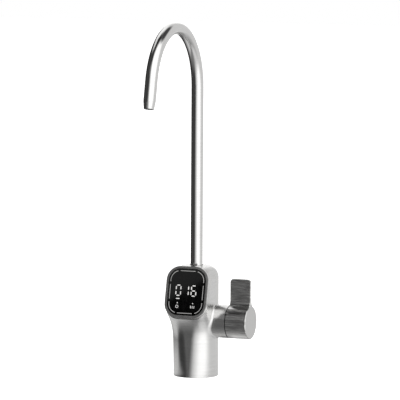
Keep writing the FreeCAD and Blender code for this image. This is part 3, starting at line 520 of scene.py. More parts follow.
def turned_metal(name, tones, dull, rings, axis="Z", height=0.0):
    """A turned metal, with rings round the Z axis, or round a level axis at some height."""
    material, tree = new_material(name)
    shifted = add_node(tree, "ShaderNodeMapping", Vector=place_socket(tree), Location=(0.0, 0.0, -height))
    split = add_node(tree, "ShaderNodeSeparateXYZ", Vector=shifted.outputs[0]).outputs
    squares = [add_math(tree, "MULTIPLY", split[side], split[side]) for side in "XYZ" if side != axis]
    radius = add_math(tree, "SQRT", add_math(tree, "ADD", *squares))
    lathe = add_node(tree, "ShaderNodeCombineXYZ", Z=add_math(tree, "ADD", radius, split[axis]))
    lines = add_group(tree, streaks, lathe.outputs[0], Along=1.0, Across=rings)
    spread = add_range(tree, lines["Tone"], NOISE_LOW, NOISE_HIGH)
    finish_shader(
        tree, Metallic=1.0, Base_Color=add_mix(tree, spread, *tones),
        Roughness=add_range(tree, lines["Dullness"], NOISE_LOW, NOISE_HIGH, *dull),
        Normal=add_bump(tree, lines["Height"], 0.6, GROOVE_DEPTH),
    )
    return material


brass_upright = turned_metal("brass_upright", BRASS, (0.24, 0.36), 3000.0)
brass_across = turned_metal("brass_across", BRASS, (0.20, 0.32), 3500.0, axis="X", height=KNOB_Z)
steel_turned = turned_metal("steel_turned", STEEL, (0.22, 0.34), 4000.0)
print("turned metals:", brass_upright.name, brass_across.name, steel_turned.name)

# %% [markdown]
# Rubber, plastic, ceramic and the dark display frame aren't bare metals, and a moulded grain breaks their
# gloss up. The frame's satin skin looks the same as a fine dark lacquer at this size. The ring in the gap
# between column and knob gets a painted shade: a near-black tone without gloss, far darker than its
# rubber, stands for the shade in the gap, where hardly any light gets in.

# %% Moulded finishes
def moulded(name, tones, dull, size, depth, **values):
    """A finish with a moulded grain, between two colours and two roughnesses."""
    material, tree = new_material(name)
    skin = add_group(tree, grain, place_socket(tree), Size=size)
    spread = add_range(tree, skin["Mask"], PATCH_LOW, PATCH_HIGH)
    finish_shader(
        tree, Base_Color=add_mix(tree, spread, *tones),
        Roughness=add_range(tree, skin["Mask"], PATCH_LOW, PATCH_HIGH, *dull),
        Normal=add_bump(tree, skin["Height"], 0.5, depth), **values,
    )
    return material


black_rubber = moulded("black_rubber", (grey(0.016), grey(0.026)), (0.66, 0.78), 2200.0, 0.04 * MM)
black_plastic = moulded("black_plastic", (grey(0.020), grey(0.030)), (0.42, 0.52), 3000.0, 0.03 * MM)
grey_plastic = moulded("grey_plastic", (grey(0.20), grey(0.26)), (0.36, 0.46), 3000.0, 0.03 * MM)
white_ceramic = moulded("white_ceramic", (grey(0.80), grey(0.86)), (0.10, 0.16), 4000.0, 0.004 * MM)
# painted shade: a near-black tone without gloss for the ring in the gap between column and knob
gap_painted_shade = moulded(
    "gap_painted_shade", (grey(0.003), grey(0.006)), (0.70, 0.80), 3000.0, 0.03 * MM, Specular_IOR_Level=0.1,
)
bezel_finish = moulded(
    "bezel_finish", (warm_grey(0.125, 0.98), warm_grey(0.155, 0.98)), (0.30, 0.38), 6000.0, 0.008 * MM,
    Metallic=0.35,
)
print("moulded finishes:", black_rubber.name, black_plastic.name, white_ceramic.name, bezel_finish.name)

# %% [markdown]
# The circuit board is green lacquer over copper tracks. Tracks run in straight lines and right angles,
# which a brick texture draws well enough: its joints are the tracks. Where a track runs, the lacquer is
# lighter and stands a little proud.

# %% Circuit board
BOARD_GREEN = (0.010, 0.085, 0.035, 1.0)
TRACK_GREEN = (0.030, 0.200, 0.085, 1.0)
circuit_board, tree = new_material("circuit_board")
flat = add_node(tree, "ShaderNodeMapping", Vector=place_socket(tree), Rotation=(math.radians(90), 0.0, 0.0))
tracks = add_node(
    tree, "ShaderNodeTexBrick", Vector=flat.outputs[0], Color1=BOARD_GREEN, Color2=BOARD_GREEN,
    Mortar=TRACK_GREEN, Scale=300.0, Mortar_Size=0.03, Brick_Width=0.9, Row_Height=0.35,
)
finish_shader(
    tree, Base_Color=tracks.outputs["Color"], Normal=add_bump(tree, tracks.outputs["Fac"], 0.6, 0.03 * MM),
    Roughness=0.32, Coat_Weight=0.4, Coat_Roughness=0.1,
)
print("board tracks:", tracks.inputs["Scale"].default_value, "per metre")

# %% [markdown]
# The display's glass is black all through, and what lights up shines through clear windows in its print. A
# very dark base with a low roughness is enough, and a faint film of handling marks keeps it from looking
# computed. The glow of the windows is a little uneven, because the lamps behind them are small.

# %% Glass and lit windows
LIGHT_COLOUR = (1.0, 0.99, 0.97)

black_glass, tree = new_material("black_glass")
film = add_group(tree, smudges, place_socket(tree), Size=70.0)["Mask"]
finish_shader(
    tree, Base_Color=add_mix(tree, film, grey(0.0016), grey(0.0030)),
    Roughness=add_range(tree, film, 0.0, 1.0, 0.04, 0.09), IOR=1.5, Specular_IOR_Level=0.5,
)


def lit(name, *levels):
    """A glowing window whose strength wanders a little between two levels."""
    material, tree = new_material(name)
    patches = add_group(tree, grain, place_socket(tree), Size=900.0)
    spread = add_range(tree, patches["Mask"], PATCH_LOW, PATCH_HIGH)
    tones = [tuple(c * level for c in LIGHT_COLOUR) + (1.0,) for level in levels]
    finish_shader(
        tree, Base_Color=grey(0.04), Roughness=0.35, Emission_Strength=1.0,
        Emission_Color=add_mix(tree, spread, *tones),
        Normal=add_bump(tree, patches["Height"], 0.2, 0.01 * MM),
    )
    return material


lit_digits = lit("lit_digits", 0.64, 0.80)
light_bars = lit("light_bars", 0.29, 0.40)
print("lit finishes:", lit_digits.name, light_bars.name)

# %% [markdown]
# Most pieces here are rings carried along a line: a column is its outline carried upwards, a spout a circle
# carried round an arch. An outline is a list of points, put together from arcs and straight lines. The
# first ring is a circle whose vertices move to such points, and the next one is extruded from its edges. A
# stack of rings is then filled at its ends, or joined up where the line comes back to its start.

# %% Rings
def arc(centre, radius, first, last, steps):
    """Points along an arc from one turn to another, in quarter turns, without the last point."""
    turns = [math.pi / 2 * (first + (last - first) * step / steps) for step in range(steps)]
    return [(centre[0] + radius * math.cos(turn), centre[1] + radius * math.sin(turn)) for turn in turns]


def straight(start, end, steps):
    """Points along a straight line, without the last point."""
    return [tuple(a + (b - a) * step / steps for a, b in zip(start, end)) for step in range(steps)]


def rounded(radius, steps):
    """The steps of a rounded edge, each as its way in from the side and its way down from the face."""
    lifts = [math.pi / 2 * step / steps for step in range(steps + 1)]
    return [(radius * (1 - math.cos(lift)), radius * (1 - math.sin(lift))) for lift in lifts]


def edges_of(bm, ring):
    """The edges along a closed ring."""
    return [bm.edges.get((a, b)) for a, b in zip(ring, ring[1:] + ring[:1])]


def first_ring(bm, points):
    """A closed ring through these points."""
    ring = bmesh.ops.create_circle(bm, cap_ends=False, radius=1.0, segments=len(points))["verts"]
    for vertex, point in zip(ring, points):
        vertex.co = point
    return ring


def next_ring(bm, ring, points):
    """Extrudes a ring and moves the new vertices to these points, in the old ring's order."""
    made = set(bmesh.ops.extrude_edge_only(bm, edges=edges_of(bm, ring))["geom"])
    following = []
    for vertex, point in zip(ring, points):
        above = next(other for other in (e.other_vert(vertex) for e in vertex.link_edges) if other in made)
        above.co = point
        following.append(above)
    return following


def stack_rings(rings, first_filled=True, last_filled=True, joined=False):
    """A mesh of rings, each a list of points, with its ends filled or, if joined, bridged to each other."""
    bm = bmesh.new()
    ring = start = first_ring(bm, rings[0])
    if first_filled and not joined:
        bmesh.ops.edgeloop_fill(bm, edges=edges_of(bm, ring))
    for points in rings[1:]:
        ring = next_ring(bm, ring, points)
    if last_filled and not joined:
        bmesh.ops.edgeloop_fill(bm, edges=edges_of(bm, ring))
    if joined:
        bmesh.ops.bridge_loops(bm, edges=edges_of(bm, ring) + edges_of(bm, start))
    return bm

# %% [markdown]
# A finished mesh becomes an object with one finish, smooth shading but for its sharp edges, and the body
# that it rides on. A hole through a curved wall has no simple outline to model ring by ring, so holes are
# cut with round bars by the Boolean modifier, which is applied at once.

# %% Pieces and cuts
def bare_piece(name, bm):
    """Makes the mesh an object, with its faces pointing outwards."""
    bmesh.ops.remove_doubles(bm, verts=bm.verts[:], dist=1e-7)
    bmesh.ops.recalc_face_normals(bm, faces=bm.faces[:])
    mesh = bpy.data.meshes.new(name)
    bm.to_mesh(mesh)
    bm.free()
    piece = bpy.data.objects.new(name, mesh)
    collection.objects.link(piece)
    return piece


def dress(piece, material, body, smooth_below=32):
    """Gives a piece its finish, smooths its gentle edges and lets it ride on its body."""
    mesh = piece.data
    mesh.materials.clear()
    mesh.materials.append(material)
    mesh.polygons.foreach_set("material_index", [0] * len(mesh.polygons))
    mesh.shade_smooth()
    mesh.set_sharp_from_angle(angle=math.radians(smooth_below))
    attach(piece, body)
    sizes = [round(size * 1000, 1) for size in piece.dimensions]
    print(piece.name, len(mesh.polygons), "faces,", sizes, "mm")


def combine(piece, tools, operation="DIFFERENCE"):
    """Cuts tools out of a piece, or joins them to it, and takes the tools away."""
    for tool in tools:
        change = piece.modifiers.new(operation.lower(), "BOOLEAN")
        change.operation = operation
        change.solver = "EXACT"
        change.object = tool
    solid = piece.evaluated_get(bpy.context.evaluated_depsgraph_get())
    mesh = bpy.data.meshes.new_from_object(solid)
    piece.modifiers.clear()
    piece.data = mesh
    for tool in tools:
        bpy.data.objects.remove(tool)


def rod(name, radius, start, end, segments=96):
    """A plain round bar between two points, as a tool for cutting."""
    bm = bmesh.new()
    line = end - start
    stand = Matrix.Translation((start + end) / 2) @ line.to_track_quat("Z", "Y").to_matrix().to_4x4()
    bmesh.ops.create_cone(
        bm, cap_ends=True, segments=segments, radius1=radius, radius2=radius, depth=line.length,
        matrix=stand,
    )
    return bare_piece(name, bm)

# %% [markdown]
# The column is one casting. From above, its outline is half a circle behind, straight sides and rounded
# corners at the front. The front swells out under the display along a curve of 24 mm radius, and the
# corners tighten as it rises. A subdivision surface could be pulled into this form, but the outline at each
# height is known, so rings of it are stacked up.

# %% Column sizes
column_low, column_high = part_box("column_shell")
COLUMN_R = -column_low.x
BOSS_END = column_high.x
HEAD_TOP = column_high.z
FOOT_GAP = 0.3 * MM
FLARE_R = 24.0 * MM
FLARE_START = 33.075 * MM
HEAD_BOTTOM = 51.46 * MM
HEAD_START = 63.36 * MM
FRONT_CORNERS = [
    (0.0, 18.2 * MM), (FLARE_START, 15.8 * MM), (HEAD_BOTTOM, 12.5 * MM), (HEAD_START, 1.0 * MM),
]
CROWN_R = 80.0 * MM
CROWN_PEAK_Y = 3.0 * MM


def front_reach(z):
    """How far the column's front stands forward of its axis at height z."""
    rise = min(z, HEAD_BOTTOM) - FLARE_START
    if rise <= 0:
        return COLUMN_R + FOOT_GAP
    return COLUMN_R + FOOT_GAP + FLARE_R - math.sqrt(FLARE_R ** 2 - rise ** 2)


def corner_radius(z):
    """The radius of the front corners at height z."""
    return level_at(FRONT_CORNERS, z)


def crown_height(y):
    """The height of the head's crowned top."""
    return HEAD_TOP - CROWN_R + math.sqrt(CROWN_R ** 2 - (y - CROWN_PEAK_Y) ** 2)


print("column radius", round(COLUMN_R * 1000, 2), "head top", round(HEAD_TOP * 1000, 2), "mm")

# %% [markdown]
# Every ring of the column needs the same count of points, and each point its place in the same stretch of
# the outline, or the surface between two rings would twist. So each arc and each straight line keeps its
# number of steps at every height.

# %% Column outline
BACK_STEPS, SIDE_STEPS, CORNER_STEPS, FRONT_STEPS = 112, 14, 28, 24


def outline(half, front, corner):
    """The column from above: behind a half circle, then a side, a corner, the front, and back again."""
    corner_x, corner_y = half - corner, corner - front
    return (
        arc((0.0, 0.0), half, 0, 2, BACK_STEPS)
        + straight((-half, 0.0), (-half, corner_y), SIDE_STEPS)
        + arc((-corner_x, corner_y), corner, 2, 3, CORNER_STEPS)
        + straight((-corner_x, -front), (corner_x, -front), FRONT_STEPS)
        + arc((corner_x, corner_y), corner, 3, 4, CORNER_STEPS)
        + straight((half, corner_y), (half, 0.0), SIDE_STEPS)
    )


def level_ring(z, inset=0.0):
    """The column's outline at height z, drawn in by inset."""
    sizes = [size - inset for size in (COLUMN_R, front_reach(z), corner_radius(z))]
    return [(x, y, z) for x, y in outline(*sizes)]


def head_ring(inset, drop):
    """The outline on the crowned top, drawn in by inset and lying below the crown by drop."""
    corner = min(corner_radius(HEAD_START), COLUMN_R - inset)
    points = outline(COLUMN_R - inset, front_reach(HEAD_START), corner)
    return [(x, y, crown_height(y) - drop) for x, y in points]


print("points in an outline:", len(level_ring(0.0)))

# %% [markdown]
# The rings are stacked from the foot upwards: a fine edge, a few for the straight shaft, and one for every
# 1.5 mm where the front curves. At the top they turn in over a rounded edge, follow the crown and end on a
# line along its ridge. Points that meet there are merged.

# %% Column rings
FOOT_EDGE = 0.3 * MM
RING_STEP = 1.5 * MM
SHAFT_HEIGHTS = [FOOT_EDGE, 6 * MM, 12 * MM, 18 * MM, 24 * MM]
STRAIGHT_TOP = 74.5 * MM
TOP_EDGE_R = 10.5 * MM
EDGE_STEPS = 14
CROWN_INSETS = [12.5 * MM, 14.5 * MM, 16.3 * MM, 17.6 * MM, COLUMN_R]
MERGE_WITHIN = 1e-6

rise = STRAIGHT_TOP - SHAFT_HEIGHTS[-1]
rises = math.ceil(rise / RING_STEP)
heights = SHAFT_HEIGHTS + [SHAFT_HEIGHTS[-1] + rise * i / rises for i in range(1, rises + 1)]
rings = [level_ring(0.0, inset=FOOT_EDGE)] + [level_ring(z) for z in heights]
rings += [head_ring(inset, drop) for inset, drop in rounded(TOP_EDGE_R, EDGE_STEPS)]
rings += [head_ring(inset, 0.0) for inset in CROWN_INSETS]
column_bm = stack_rings(rings, last_filled=False)
bmesh.ops.remove_doubles(column_bm, verts=column_bm.verts[:], dist=MERGE_WITHIN)
bmesh.ops.dissolve_degenerate(column_bm, edges=column_bm.edges[:], dist=MERGE_WITHIN)
print("column before cutting:", len(column_bm.faces), "faces")

# %% [markdown]
# The display leans back by 13 degrees, and the head is cut off along the plane that its frame sits on. The
# cut also says which edges are new, so the open face is filled at once. Display pieces are drawn flat, with
# x to the right, y up the glass and z out of it, and one matrix carries them to their place.

# %% Seat of the display
DISPLAY_TILT = math.radians(13.1)
BEZEL_DEPTH = 3.0 * MM
GLASS_RECESS = 0.35 * MM
GLASS_THICKNESS = 1.6 * MM
glass_middle = sum(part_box("display_glass"), Vector()) / 2
DISPLAY_NORMAL = Vector((0.0, -math.cos(DISPLAY_TILT), math.sin(DISPLAY_TILT)))
display_at = glass_middle + DISPLAY_NORMAL * (GLASS_RECESS + GLASS_THICKNESS / 2)
on_display = Matrix.Translation(display_at) @ Matrix.Rotation(math.pi / 2 - DISPLAY_TILT, 4, "X")
seat_at = display_at - DISPLAY_NORMAL * BEZEL_DEPTH
sliced = bmesh.ops.bisect_plane(
    column_bm, geom=column_bm.verts[:] + column_bm.edges[:] + column_bm.faces[:], dist=1e-7,
    plane_co=seat_at, plane_no=DISPLAY_NORMAL, clear_outer=True, clear_inner=False,
)
open_edges = [item for item in sliced["geom_cut"] if isinstance(item, bmesh.types.BMEdge)]
bmesh.ops.edgeloop_fill(column_bm, edges=open_edges)
column_body = bare_piece("column_body", column_bm)
print("display centre", [round(c * 1000, 2) for c in display_at], "open edges filled:", len(open_edges))

# %% [markdown]
# A round boss on the column's right side carries the knob and meets the column in a small hollow curve. The
# side is not flat there, so each point of the boss's root starts from the side's own reach at that height
# and depth. The boss sinks a hair into the column and the two are united.

# %% Boss
BOSS_ROOT_R = 2.1 * MM
BOSS_SINK = 0.05 * MM
BOSS_BURIED = 4.0 * MM
BOSS_RINGS = [22.5 * MM, 26.0 * MM, BOSS_END]
ROOT_STEPS = 12
BOSS_COUNT = 160


def side_reach(y, z):
    """How far the column's right side reaches at depth y and height z."""
    corner = corner_radius(z)
    corner_y = corner - front_reach(z)
    if y >= 0:
        return math.sqrt(COLUMN_R ** 2 - y ** 2)
    if y >= corner_y:
        return COLUMN_R
    return COLUMN_R - corner + math.sqrt(corner ** 2 - (y - corner_y) ** 2)


def boss_ring(radius, out=None, x=None):
    """A ring of the boss, standing out from the column's side or at a fixed x."""
    points = arc((0.0, KNOB_Z), radius, 0, 4, BOSS_COUNT)
    return [(side_reach(y, z) + out if x is None else x, y, z) for y, z in points]


rings = [boss_ring(KNOB_R + BOSS_ROOT_R, out=-BOSS_BURIED)]
rings += [boss_ring(KNOB_R + gap, out=out - BOSS_SINK) for out, gap in rounded(BOSS_ROOT_R, ROOT_STEPS)]
rings += [boss_ring(KNOB_R, x=x) for x in BOSS_RINGS]
combine(column_body, [bare_piece("boss", stack_rings(rings))], "UNION")
print("column with boss:", len(column_body.data.polygons), "faces")

# %% [markdown]
# Everything at the display follows one rounded rectangle: the pocket behind it, the frame, the glass and
# the ring of lights. A bevelled plane would give that outline once. A function that draws it in by any
# amount, at any depth, gives all of them.

# %% Display outline
BEZEL_W = 37.0 * MM
BEZEL_H = 43.0 * MM
BEZEL_CORNER = 11.9 * MM
PLATE_CORNER_STEPS = 24
PLATE_SIDE_STEPS = 32
CORNER_X, CORNER_Y = BEZEL_W / 2 - BEZEL_CORNER, BEZEL_H / 2 - BEZEL_CORNER
CORNER_CENTRES = [(x * CORNER_X, y * CORNER_Y) for x, y in ((1, 1), (-1, 1), (-1, -1), (1, -1))]


def plate_ring(inset, depth):
    """The display's rounded rectangle, drawn in by inset, at a depth below its front."""
    corner = BEZEL_CORNER - inset
    points = []
    for quarter in range(4):
        centres = CORNER_CENTRES[quarter], CORNER_CENTRES[(quarter + 1) % 4]
        side = [arc(centre, corner, quarter + 1, quarter + 2, 1)[0] for centre in centres]
        points += arc(centres[0], corner, quarter, quarter + 1, PLATE_CORNER_STEPS)
        points += straight(*side, PLATE_SIDE_STEPS)
    return [on_display @ Vector((x, y, -depth)) for x, y in points]


print("points in the display's outline:", len(plate_ring(0.0, 0.0)))

# %% [markdown]
# The real column is hollow: a wide bore for the valve, a narrower one for the spout's bushing, a bore
# through the boss, a pocket for the display with a way for its cable, and a hole for the locking screw.
# Each is cut with a tool of its own shape.

# %% Hollows of the column
POCKET_INSET = 2.75 * MM
POCKET_DEPTH = 9.0 * MM
BORE_R = 15.5 * MM
BORE_TOP = 63.0 * MM
BUSHING_HOLE_R = 8.05 * MM
BUSHING_TOP = 88.8 * MM
TOP_HOLE_R = 5.5 * MM
BOSS_BORE_R = 11.2 * MM
LOCK_HOLE_R = 2.05 * MM
LOCK_Z = 77.3 * MM
CABLE_WAY = (9.0 * MM, 6.0 * MM, 19.0 * MM)
CABLE_WAY_Y = -9.0 * MM
SMALL_HOLE_STEPS = 48
PAST = 1.0 * MM

pocket = [plate_ring(POCKET_INSET, depth) for depth in (BEZEL_DEPTH - PAST, POCKET_DEPTH)]
bm = bmesh.new()
bmesh.ops.create_cube(bm, size=1.0)
bmesh.ops.scale(bm, vec=CABLE_WAY, verts=bm.verts[:])
bmesh.ops.translate(bm, vec=(0.0, CABLE_WAY_Y, PAST - POCKET_DEPTH - CABLE_WAY[2] / 2), verts=bm.verts[:])
bmesh.ops.transform(bm, matrix=on_display, verts=bm.verts[:])
up, back, right = Vector((0, 0, 1)), Vector((0, 1, 0)), Vector((1, 0, 0))
lock_at, boss_at = up * LOCK_Z, up * KNOB_Z
spaces = [
    rod("bore", BORE_R, -up * PAST, up * BORE_TOP),
    rod("bushing_hole", BUSHING_HOLE_R, up * (BORE_TOP - PAST), up * BUSHING_TOP),
    rod("top_hole", TOP_HOLE_R, up * (BUSHING_TOP - PAST), up * (HEAD_TOP + PAST)),
    rod("boss_bore", BOSS_BORE_R, boss_at, boss_at + right * (BOSS_END + PAST)),
    rod("lock_hole", LOCK_HOLE_R, lock_at, lock_at + back * (COLUMN_R + PAST), SMALL_HOLE_STEPS),
    bare_piece("pocket", stack_rings(pocket)),
    bare_piece("cable_way", bm),
]
combine(column_body, spaces)
dress(column_body, body_nickel, "column")
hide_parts("column_shell")

# %% [markdown]
# The display's frame is one band with a softly rounded front edge, a straight inner wall, a ledge behind
# the glass and a groove for its seal. All of these lie on copies of one rounded rectangle, drawn in by
# different amounts, so the frame is a stack of rings that comes back to where it began.

# %% Display frame
BEZEL_EDGE_R = 0.5 * MM
BEZEL_RIM = 2.0 * MM
BEZEL_LEDGE = 0.9 * MM
INNER_EDGE = 0.12 * MM
EDGE_ARC = 6
GROOVE_INNER, GROOVE_OUTER = 1.75 * MM, 0.75 * MM
GROOVE_FLOOR = BEZEL_DEPTH - 1.0 * MM
GLASS_BACK = GLASS_RECESS + GLASS_THICKNESS
frame_section = [(0.0, BEZEL_DEPTH)] + rounded(BEZEL_EDGE_R, EDGE_ARC) + [
    (BEZEL_RIM - INNER_EDGE, 0.0),
    (BEZEL_RIM, INNER_EDGE),
    (BEZEL_RIM, GLASS_BACK),
    (BEZEL_RIM + BEZEL_LEDGE, GLASS_BACK),
    (BEZEL_RIM + BEZEL_LEDGE, BEZEL_DEPTH),
    (GROOVE_INNER, BEZEL_DEPTH),
    (GROOVE_INNER, GROOVE_FLOOR),
    (GROOVE_OUTER, GROOVE_FLOOR),
    (GROOVE_OUTER, BEZEL_DEPTH),
]
rings = [plate_ring(inset, depth) for inset, depth in frame_section]
display_frame = bare_piece("display_frame", stack_rings(rings, joined=True))
dress(display_frame, bezel_finish, "column")
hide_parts("display_bezel")

# %% [markdown]
# The photograph shows the frame dark from the front and bright on its narrow sides. So the dark skin ends
# just round the edge, by a mask on the distance below the frame's front, and bare nickel follows.

# %% Skin of the frame
SKIN_END = (-0.45 * MM, -0.65 * MM)
BARE_NICKEL = warm_grey(0.72, 0.985)
tree = bezel_finish.node_tree
from_front = add_vector_math(tree, "SUBTRACT", place_socket(tree), display_at)
bare = add_range(tree, add_vector_math(tree, "DOT_PRODUCT", from_front, DISPLAY_NORMAL), *SKIN_END)
metallic = cover_tone(bezel_finish, bare, BARE_NICKEL).inputs["Metallic"]
feed(tree, metallic, add_range(tree, bare, 0.0, 1.0, metallic.default_value, 1.0))
print("the dark skin ends", round(-SKIN_END[0] * 1000, 2), "mm below the front")

# %% [markdown]
# The glass is a plate of the same outline with a fine ground edge. It is modelled rather than left as the
# plain solid, because its bright hairline edge is what shows that it is glass.

# %% Glass plate
GLASS_INSET = 2.15 * MM
GLASS_EDGE = 0.15 * MM
rings = [
    plate_ring(GLASS_INSET, GLASS_BACK),
    plate_ring(GLASS_INSET, GLASS_RECESS + GLASS_EDGE),
    plate_ring(GLASS_INSET + GLASS_EDGE, GLASS_RECESS),
]
glass_plate = bare_piece("glass_plate", stack_rings(rings))
dress(glass_plate, black_glass, "column")
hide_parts("display_glass")

# %% [markdown]
# Black glass looks black only in a dark room: it shows a faint picture of what stands in front of it. In
# the photograph a pale sheet fills the upper left of that picture, with a straight edge across the glass.
# So a pale card and a black one stand edge to edge where the sight lines go when they leave the glass. Only
# reflections see them.

# %% Cards for the sheen on the glass
SHEEN_LINE = [Vector((34.0, 23.5)), Vector((-34.0, -20.4))]
SHEEN_DEPTH = 48.0
SHEEN_DISTANCE = 0.5
SHEEN_GLOW = 0.33


def mirrored(x, y):
    """Where the sight line to a place on the glass, in millimetres, goes on to after the reflection."""
    spot = on_display @ Vector((x * MM, y * MM, -GLASS_RECESS))
    sight = (spot - CAMERA_AT).normalized()
    return spot + sight.reflect(DISPLAY_NORMAL) * SHEEN_DISTANCE


line = SHEEN_LINE[0] - SHEEN_LINE[1]
square = Vector((-line.y, line.x)).normalized() * SHEEN_DEPTH
for name, side, strength in (("pale_card", square, SHEEN_GLOW), ("black_card", -square, 0.0)):
    finish, tree = new_material(name)
    shine = add_node(tree, "ShaderNodeEmission", Strength=strength)
    add_node(tree, "ShaderNodeOutputMaterial", Surface=shine.outputs[0])
    corners = [SHEEN_LINE[1], SHEEN_LINE[0], SHEEN_LINE[1] + side, SHEEN_LINE[0] + side]
    card = stage_sheet(name, finish, [mirrored(*corner) for corner in corners])
    card.visible_camera = card.visible_diffuse = card.visible_shadow = card.visible_transmission = False
    print(name, "glows at", strength)

# %% [markdown]
# Eight bars of light frame the glass. They are one band of the display's outline with faces taken out where
# the gaps are. The band is a hair thick and lies in the face of the glass, where the clear windows of the
# print are.

# %% Light windows
BAR_INSET = 3.65 * MM
BAR_WIDTH = 0.52 * MM
TOP_BAR_HALF, TOP_GAP_END = 6.6 * MM, 8.7 * MM
SIDE_BAR_HALF, SIDE_GAP_END = 5.9 * MM, 8.2 * MM
WINDOW_Z = 0.03 * MM - GLASS_RECESS
WINDOW_THICKNESS = 0.06 * MM


def in_gap(face):
    """Whether a face of the band lies in a dark gap between two bars."""
    place = on_display.inverted() @ face.calc_center_median()
    beside = abs(place.x) > BEZEL_W / 2 - BAR_INSET - 2 * BAR_WIDTH
    if beside:
        return SIDE_BAR_HALF < abs(place.y) < SIDE_GAP_END
    return TOP_BAR_HALF < abs(place.x) < TOP_GAP_END


def window_piece(name, bm, finish):
    """Gives flat windows their thickness and makes them one piece of the display."""
    bmesh.ops.recalc_face_normals(bm, faces=bm.faces[:])
    bmesh.ops.solidify(bm, geom=bm.faces[:], thickness=WINDOW_THICKNESS)
    dress(bare_piece(name, bm), finish, "column")


rings = [plate_ring(inset, -WINDOW_Z) for inset in (BAR_INSET, BAR_INSET + BAR_WIDTH)]
bm = stack_rings(rings, first_filled=False, last_filled=False)
bmesh.ops.delete(bm, geom=[face for face in bm.faces if in_gap(face)], context="FACES")
window_piece("light_windows", bm, light_bars)

# %% [markdown]
# The figures are seven-segment digits. A segment is a long hexagon: a circle of six points that is pulled
# apart along its length. Its place and turn follow from its place in the digit, and each digit is only a
# list of the segments that are lit.

# %% Digits
DIGIT_W, DIGIT_H = 4.1 * MM, 8.5 * MM
SEGMENT_LONG, SEGMENT_WIDE = 2.8 * MM, 0.88 * MM
SEGMENTS = {
    "top": (0, 2, 0), "upper left": (-1, 1, 90), "upper right": (1, 1, 90), "middle": (0, 0, 0),
    "lower left": (-1, -1, 90), "lower right": (1, -1, 90), "bottom": (0, -2, 0),
}
LIT = {
    "0": [name for name in SEGMENTS if name != "middle"],
    "1": ["upper left", "lower left"],
    "6": [name for name in SEGMENTS if name != "upper right"],
}
READING = [("0", -7.1 * MM), ("1", 3.85 * MM), ("6", 6.45 * MM)]
READING_Y = 1.25 * MM
HEXAGON_HALF = math.sqrt(0.75)


def add_segment(bm, x, y, turned, long, wide):
    """A hexagonal plate in the face of the glass, turned from level by so many degrees."""
    made = bmesh.ops.create_circle(bm, cap_ends=True, radius=wide / 2, segments=6)["verts"]
    for vertex in made:
        vertex.co.x, vertex.co.y = vertex.co.y, vertex.co.x / HEXAGON_HALF
        vertex.co.x += math.copysign((long - wide) / 2, vertex.co.x)
    place = Matrix.Translation((x, y, WINDOW_Z)) @ Matrix.Rotation(math.radians(turned), 4, "Z")
    bmesh.ops.transform(bm, matrix=on_display @ place, verts=made)


bm = bmesh.new()
for figure, middle in READING:
    for name in LIT[figure]:
        across, rise, turned = SEGMENTS[name]
        x, y = middle + across * DIGIT_W / 2, READING_Y + rise * DIGIT_H / 4
        add_segment(bm, x, y, turned, SEGMENT_LONG, SEGMENT_WIDE)
window_piece("digits", bm, lit_digits)

# %% [markdown]
# Below the digits are a short dash, two round lamps and two small marks. The marks are plain geometry: a
# ring for one and three little bars for the other.

# %% Small lamps and marks
DASH_AT, DASH_LONG, DASH_WIDE = (-7.1 * MM, -5.6 * MM), 3.3 * MM, 0.8 * MM
LAMP_PLACES = [(-7.1 * MM, -9.2 * MM), (6.5 * MM, -9.2 * MM)]
LAMP_R = 0.48 * MM
LAMP_COUNT = 24
RING_AT = (-7.3 * MM, -12.2 * MM)
RING_OUTER, RING_INNER = 1.3 * MM, 0.9 * MM
RING_COUNT = 32
BAR_MARKS = [(4.9 * MM, -12.2 * MM), (6.4 * MM, -12.2 * MM), (7.9 * MM, -12.2 * MM)]
MARK_LONG, MARK_WIDE = 2.2 * MM, 0.5 * MM

bm = bmesh.new()
add_segment(bm, *DASH_AT, 0, DASH_LONG, DASH_WIDE)
for x, y in LAMP_PLACES:
    place = on_display @ Matrix.Translation((x, y, WINDOW_Z))
    bmesh.ops.create_circle(bm, cap_ends=True, radius=LAMP_R, segments=LAMP_COUNT, matrix=place)
for x, y in BAR_MARKS:
    add_segment(bm, x, y, 90, MARK_LONG, MARK_WIDE)
circles = [arc(RING_AT, radius, 0, 4, RING_COUNT) for radius in (RING_OUTER, RING_INNER)]
outer, inner = [[on_display @ Vector((x, y, WINDOW_Z)) for x, y in circle] for circle in circles]
next_ring(bm, first_ring(bm, outer), inner)
window_piece("lamps_and_marks", bm, lit_digits)

# %% [markdown]
# Knob and lever are one casting. Seen from its end it is a circle that rises through two hollow curves into
# a thin blade. This end view is carried along the knob's axis. Towards both ends the blade's top comes down
# round a 3 mm corner, which is why the rings lie closer there, and the last ring at each end is drawn in a
# little for a fine edge.

# %% Knob and lever
KNOB_START, KNOB_END = knob_low.x, knob_high.x
LEVER_H = knob_high.z - KNOB_Z
LEVER_HALF = 1.2 * MM
LEVER_ROOT_R = 6.0 * MM
LEVER_CORNER = 3.0 * MM
KNOB_EDGE = 0.4 * MM
KNOB_START_EDGE = 0.08 * MM
NEAR_END = [0.3 * MM, 0.6 * MM, 0.9 * MM, 1.3 * MM, 1.8 * MM, 2.4 * MM, LEVER_CORNER]
ROUND_STEPS, HOLLOW_STEPS, BLADE_STEPS, TOP_STEPS = 120, 14, 10, 6
HOLLOW_Y = LEVER_HALF + LEVER_ROOT_R
HOLLOW_Z = math.sqrt((KNOB_R + LEVER_ROOT_R) ** 2 - HOLLOW_Y ** 2)
HOLLOW_TURN = math.atan2(HOLLOW_Z, HOLLOW_Y) / (math.pi / 2)


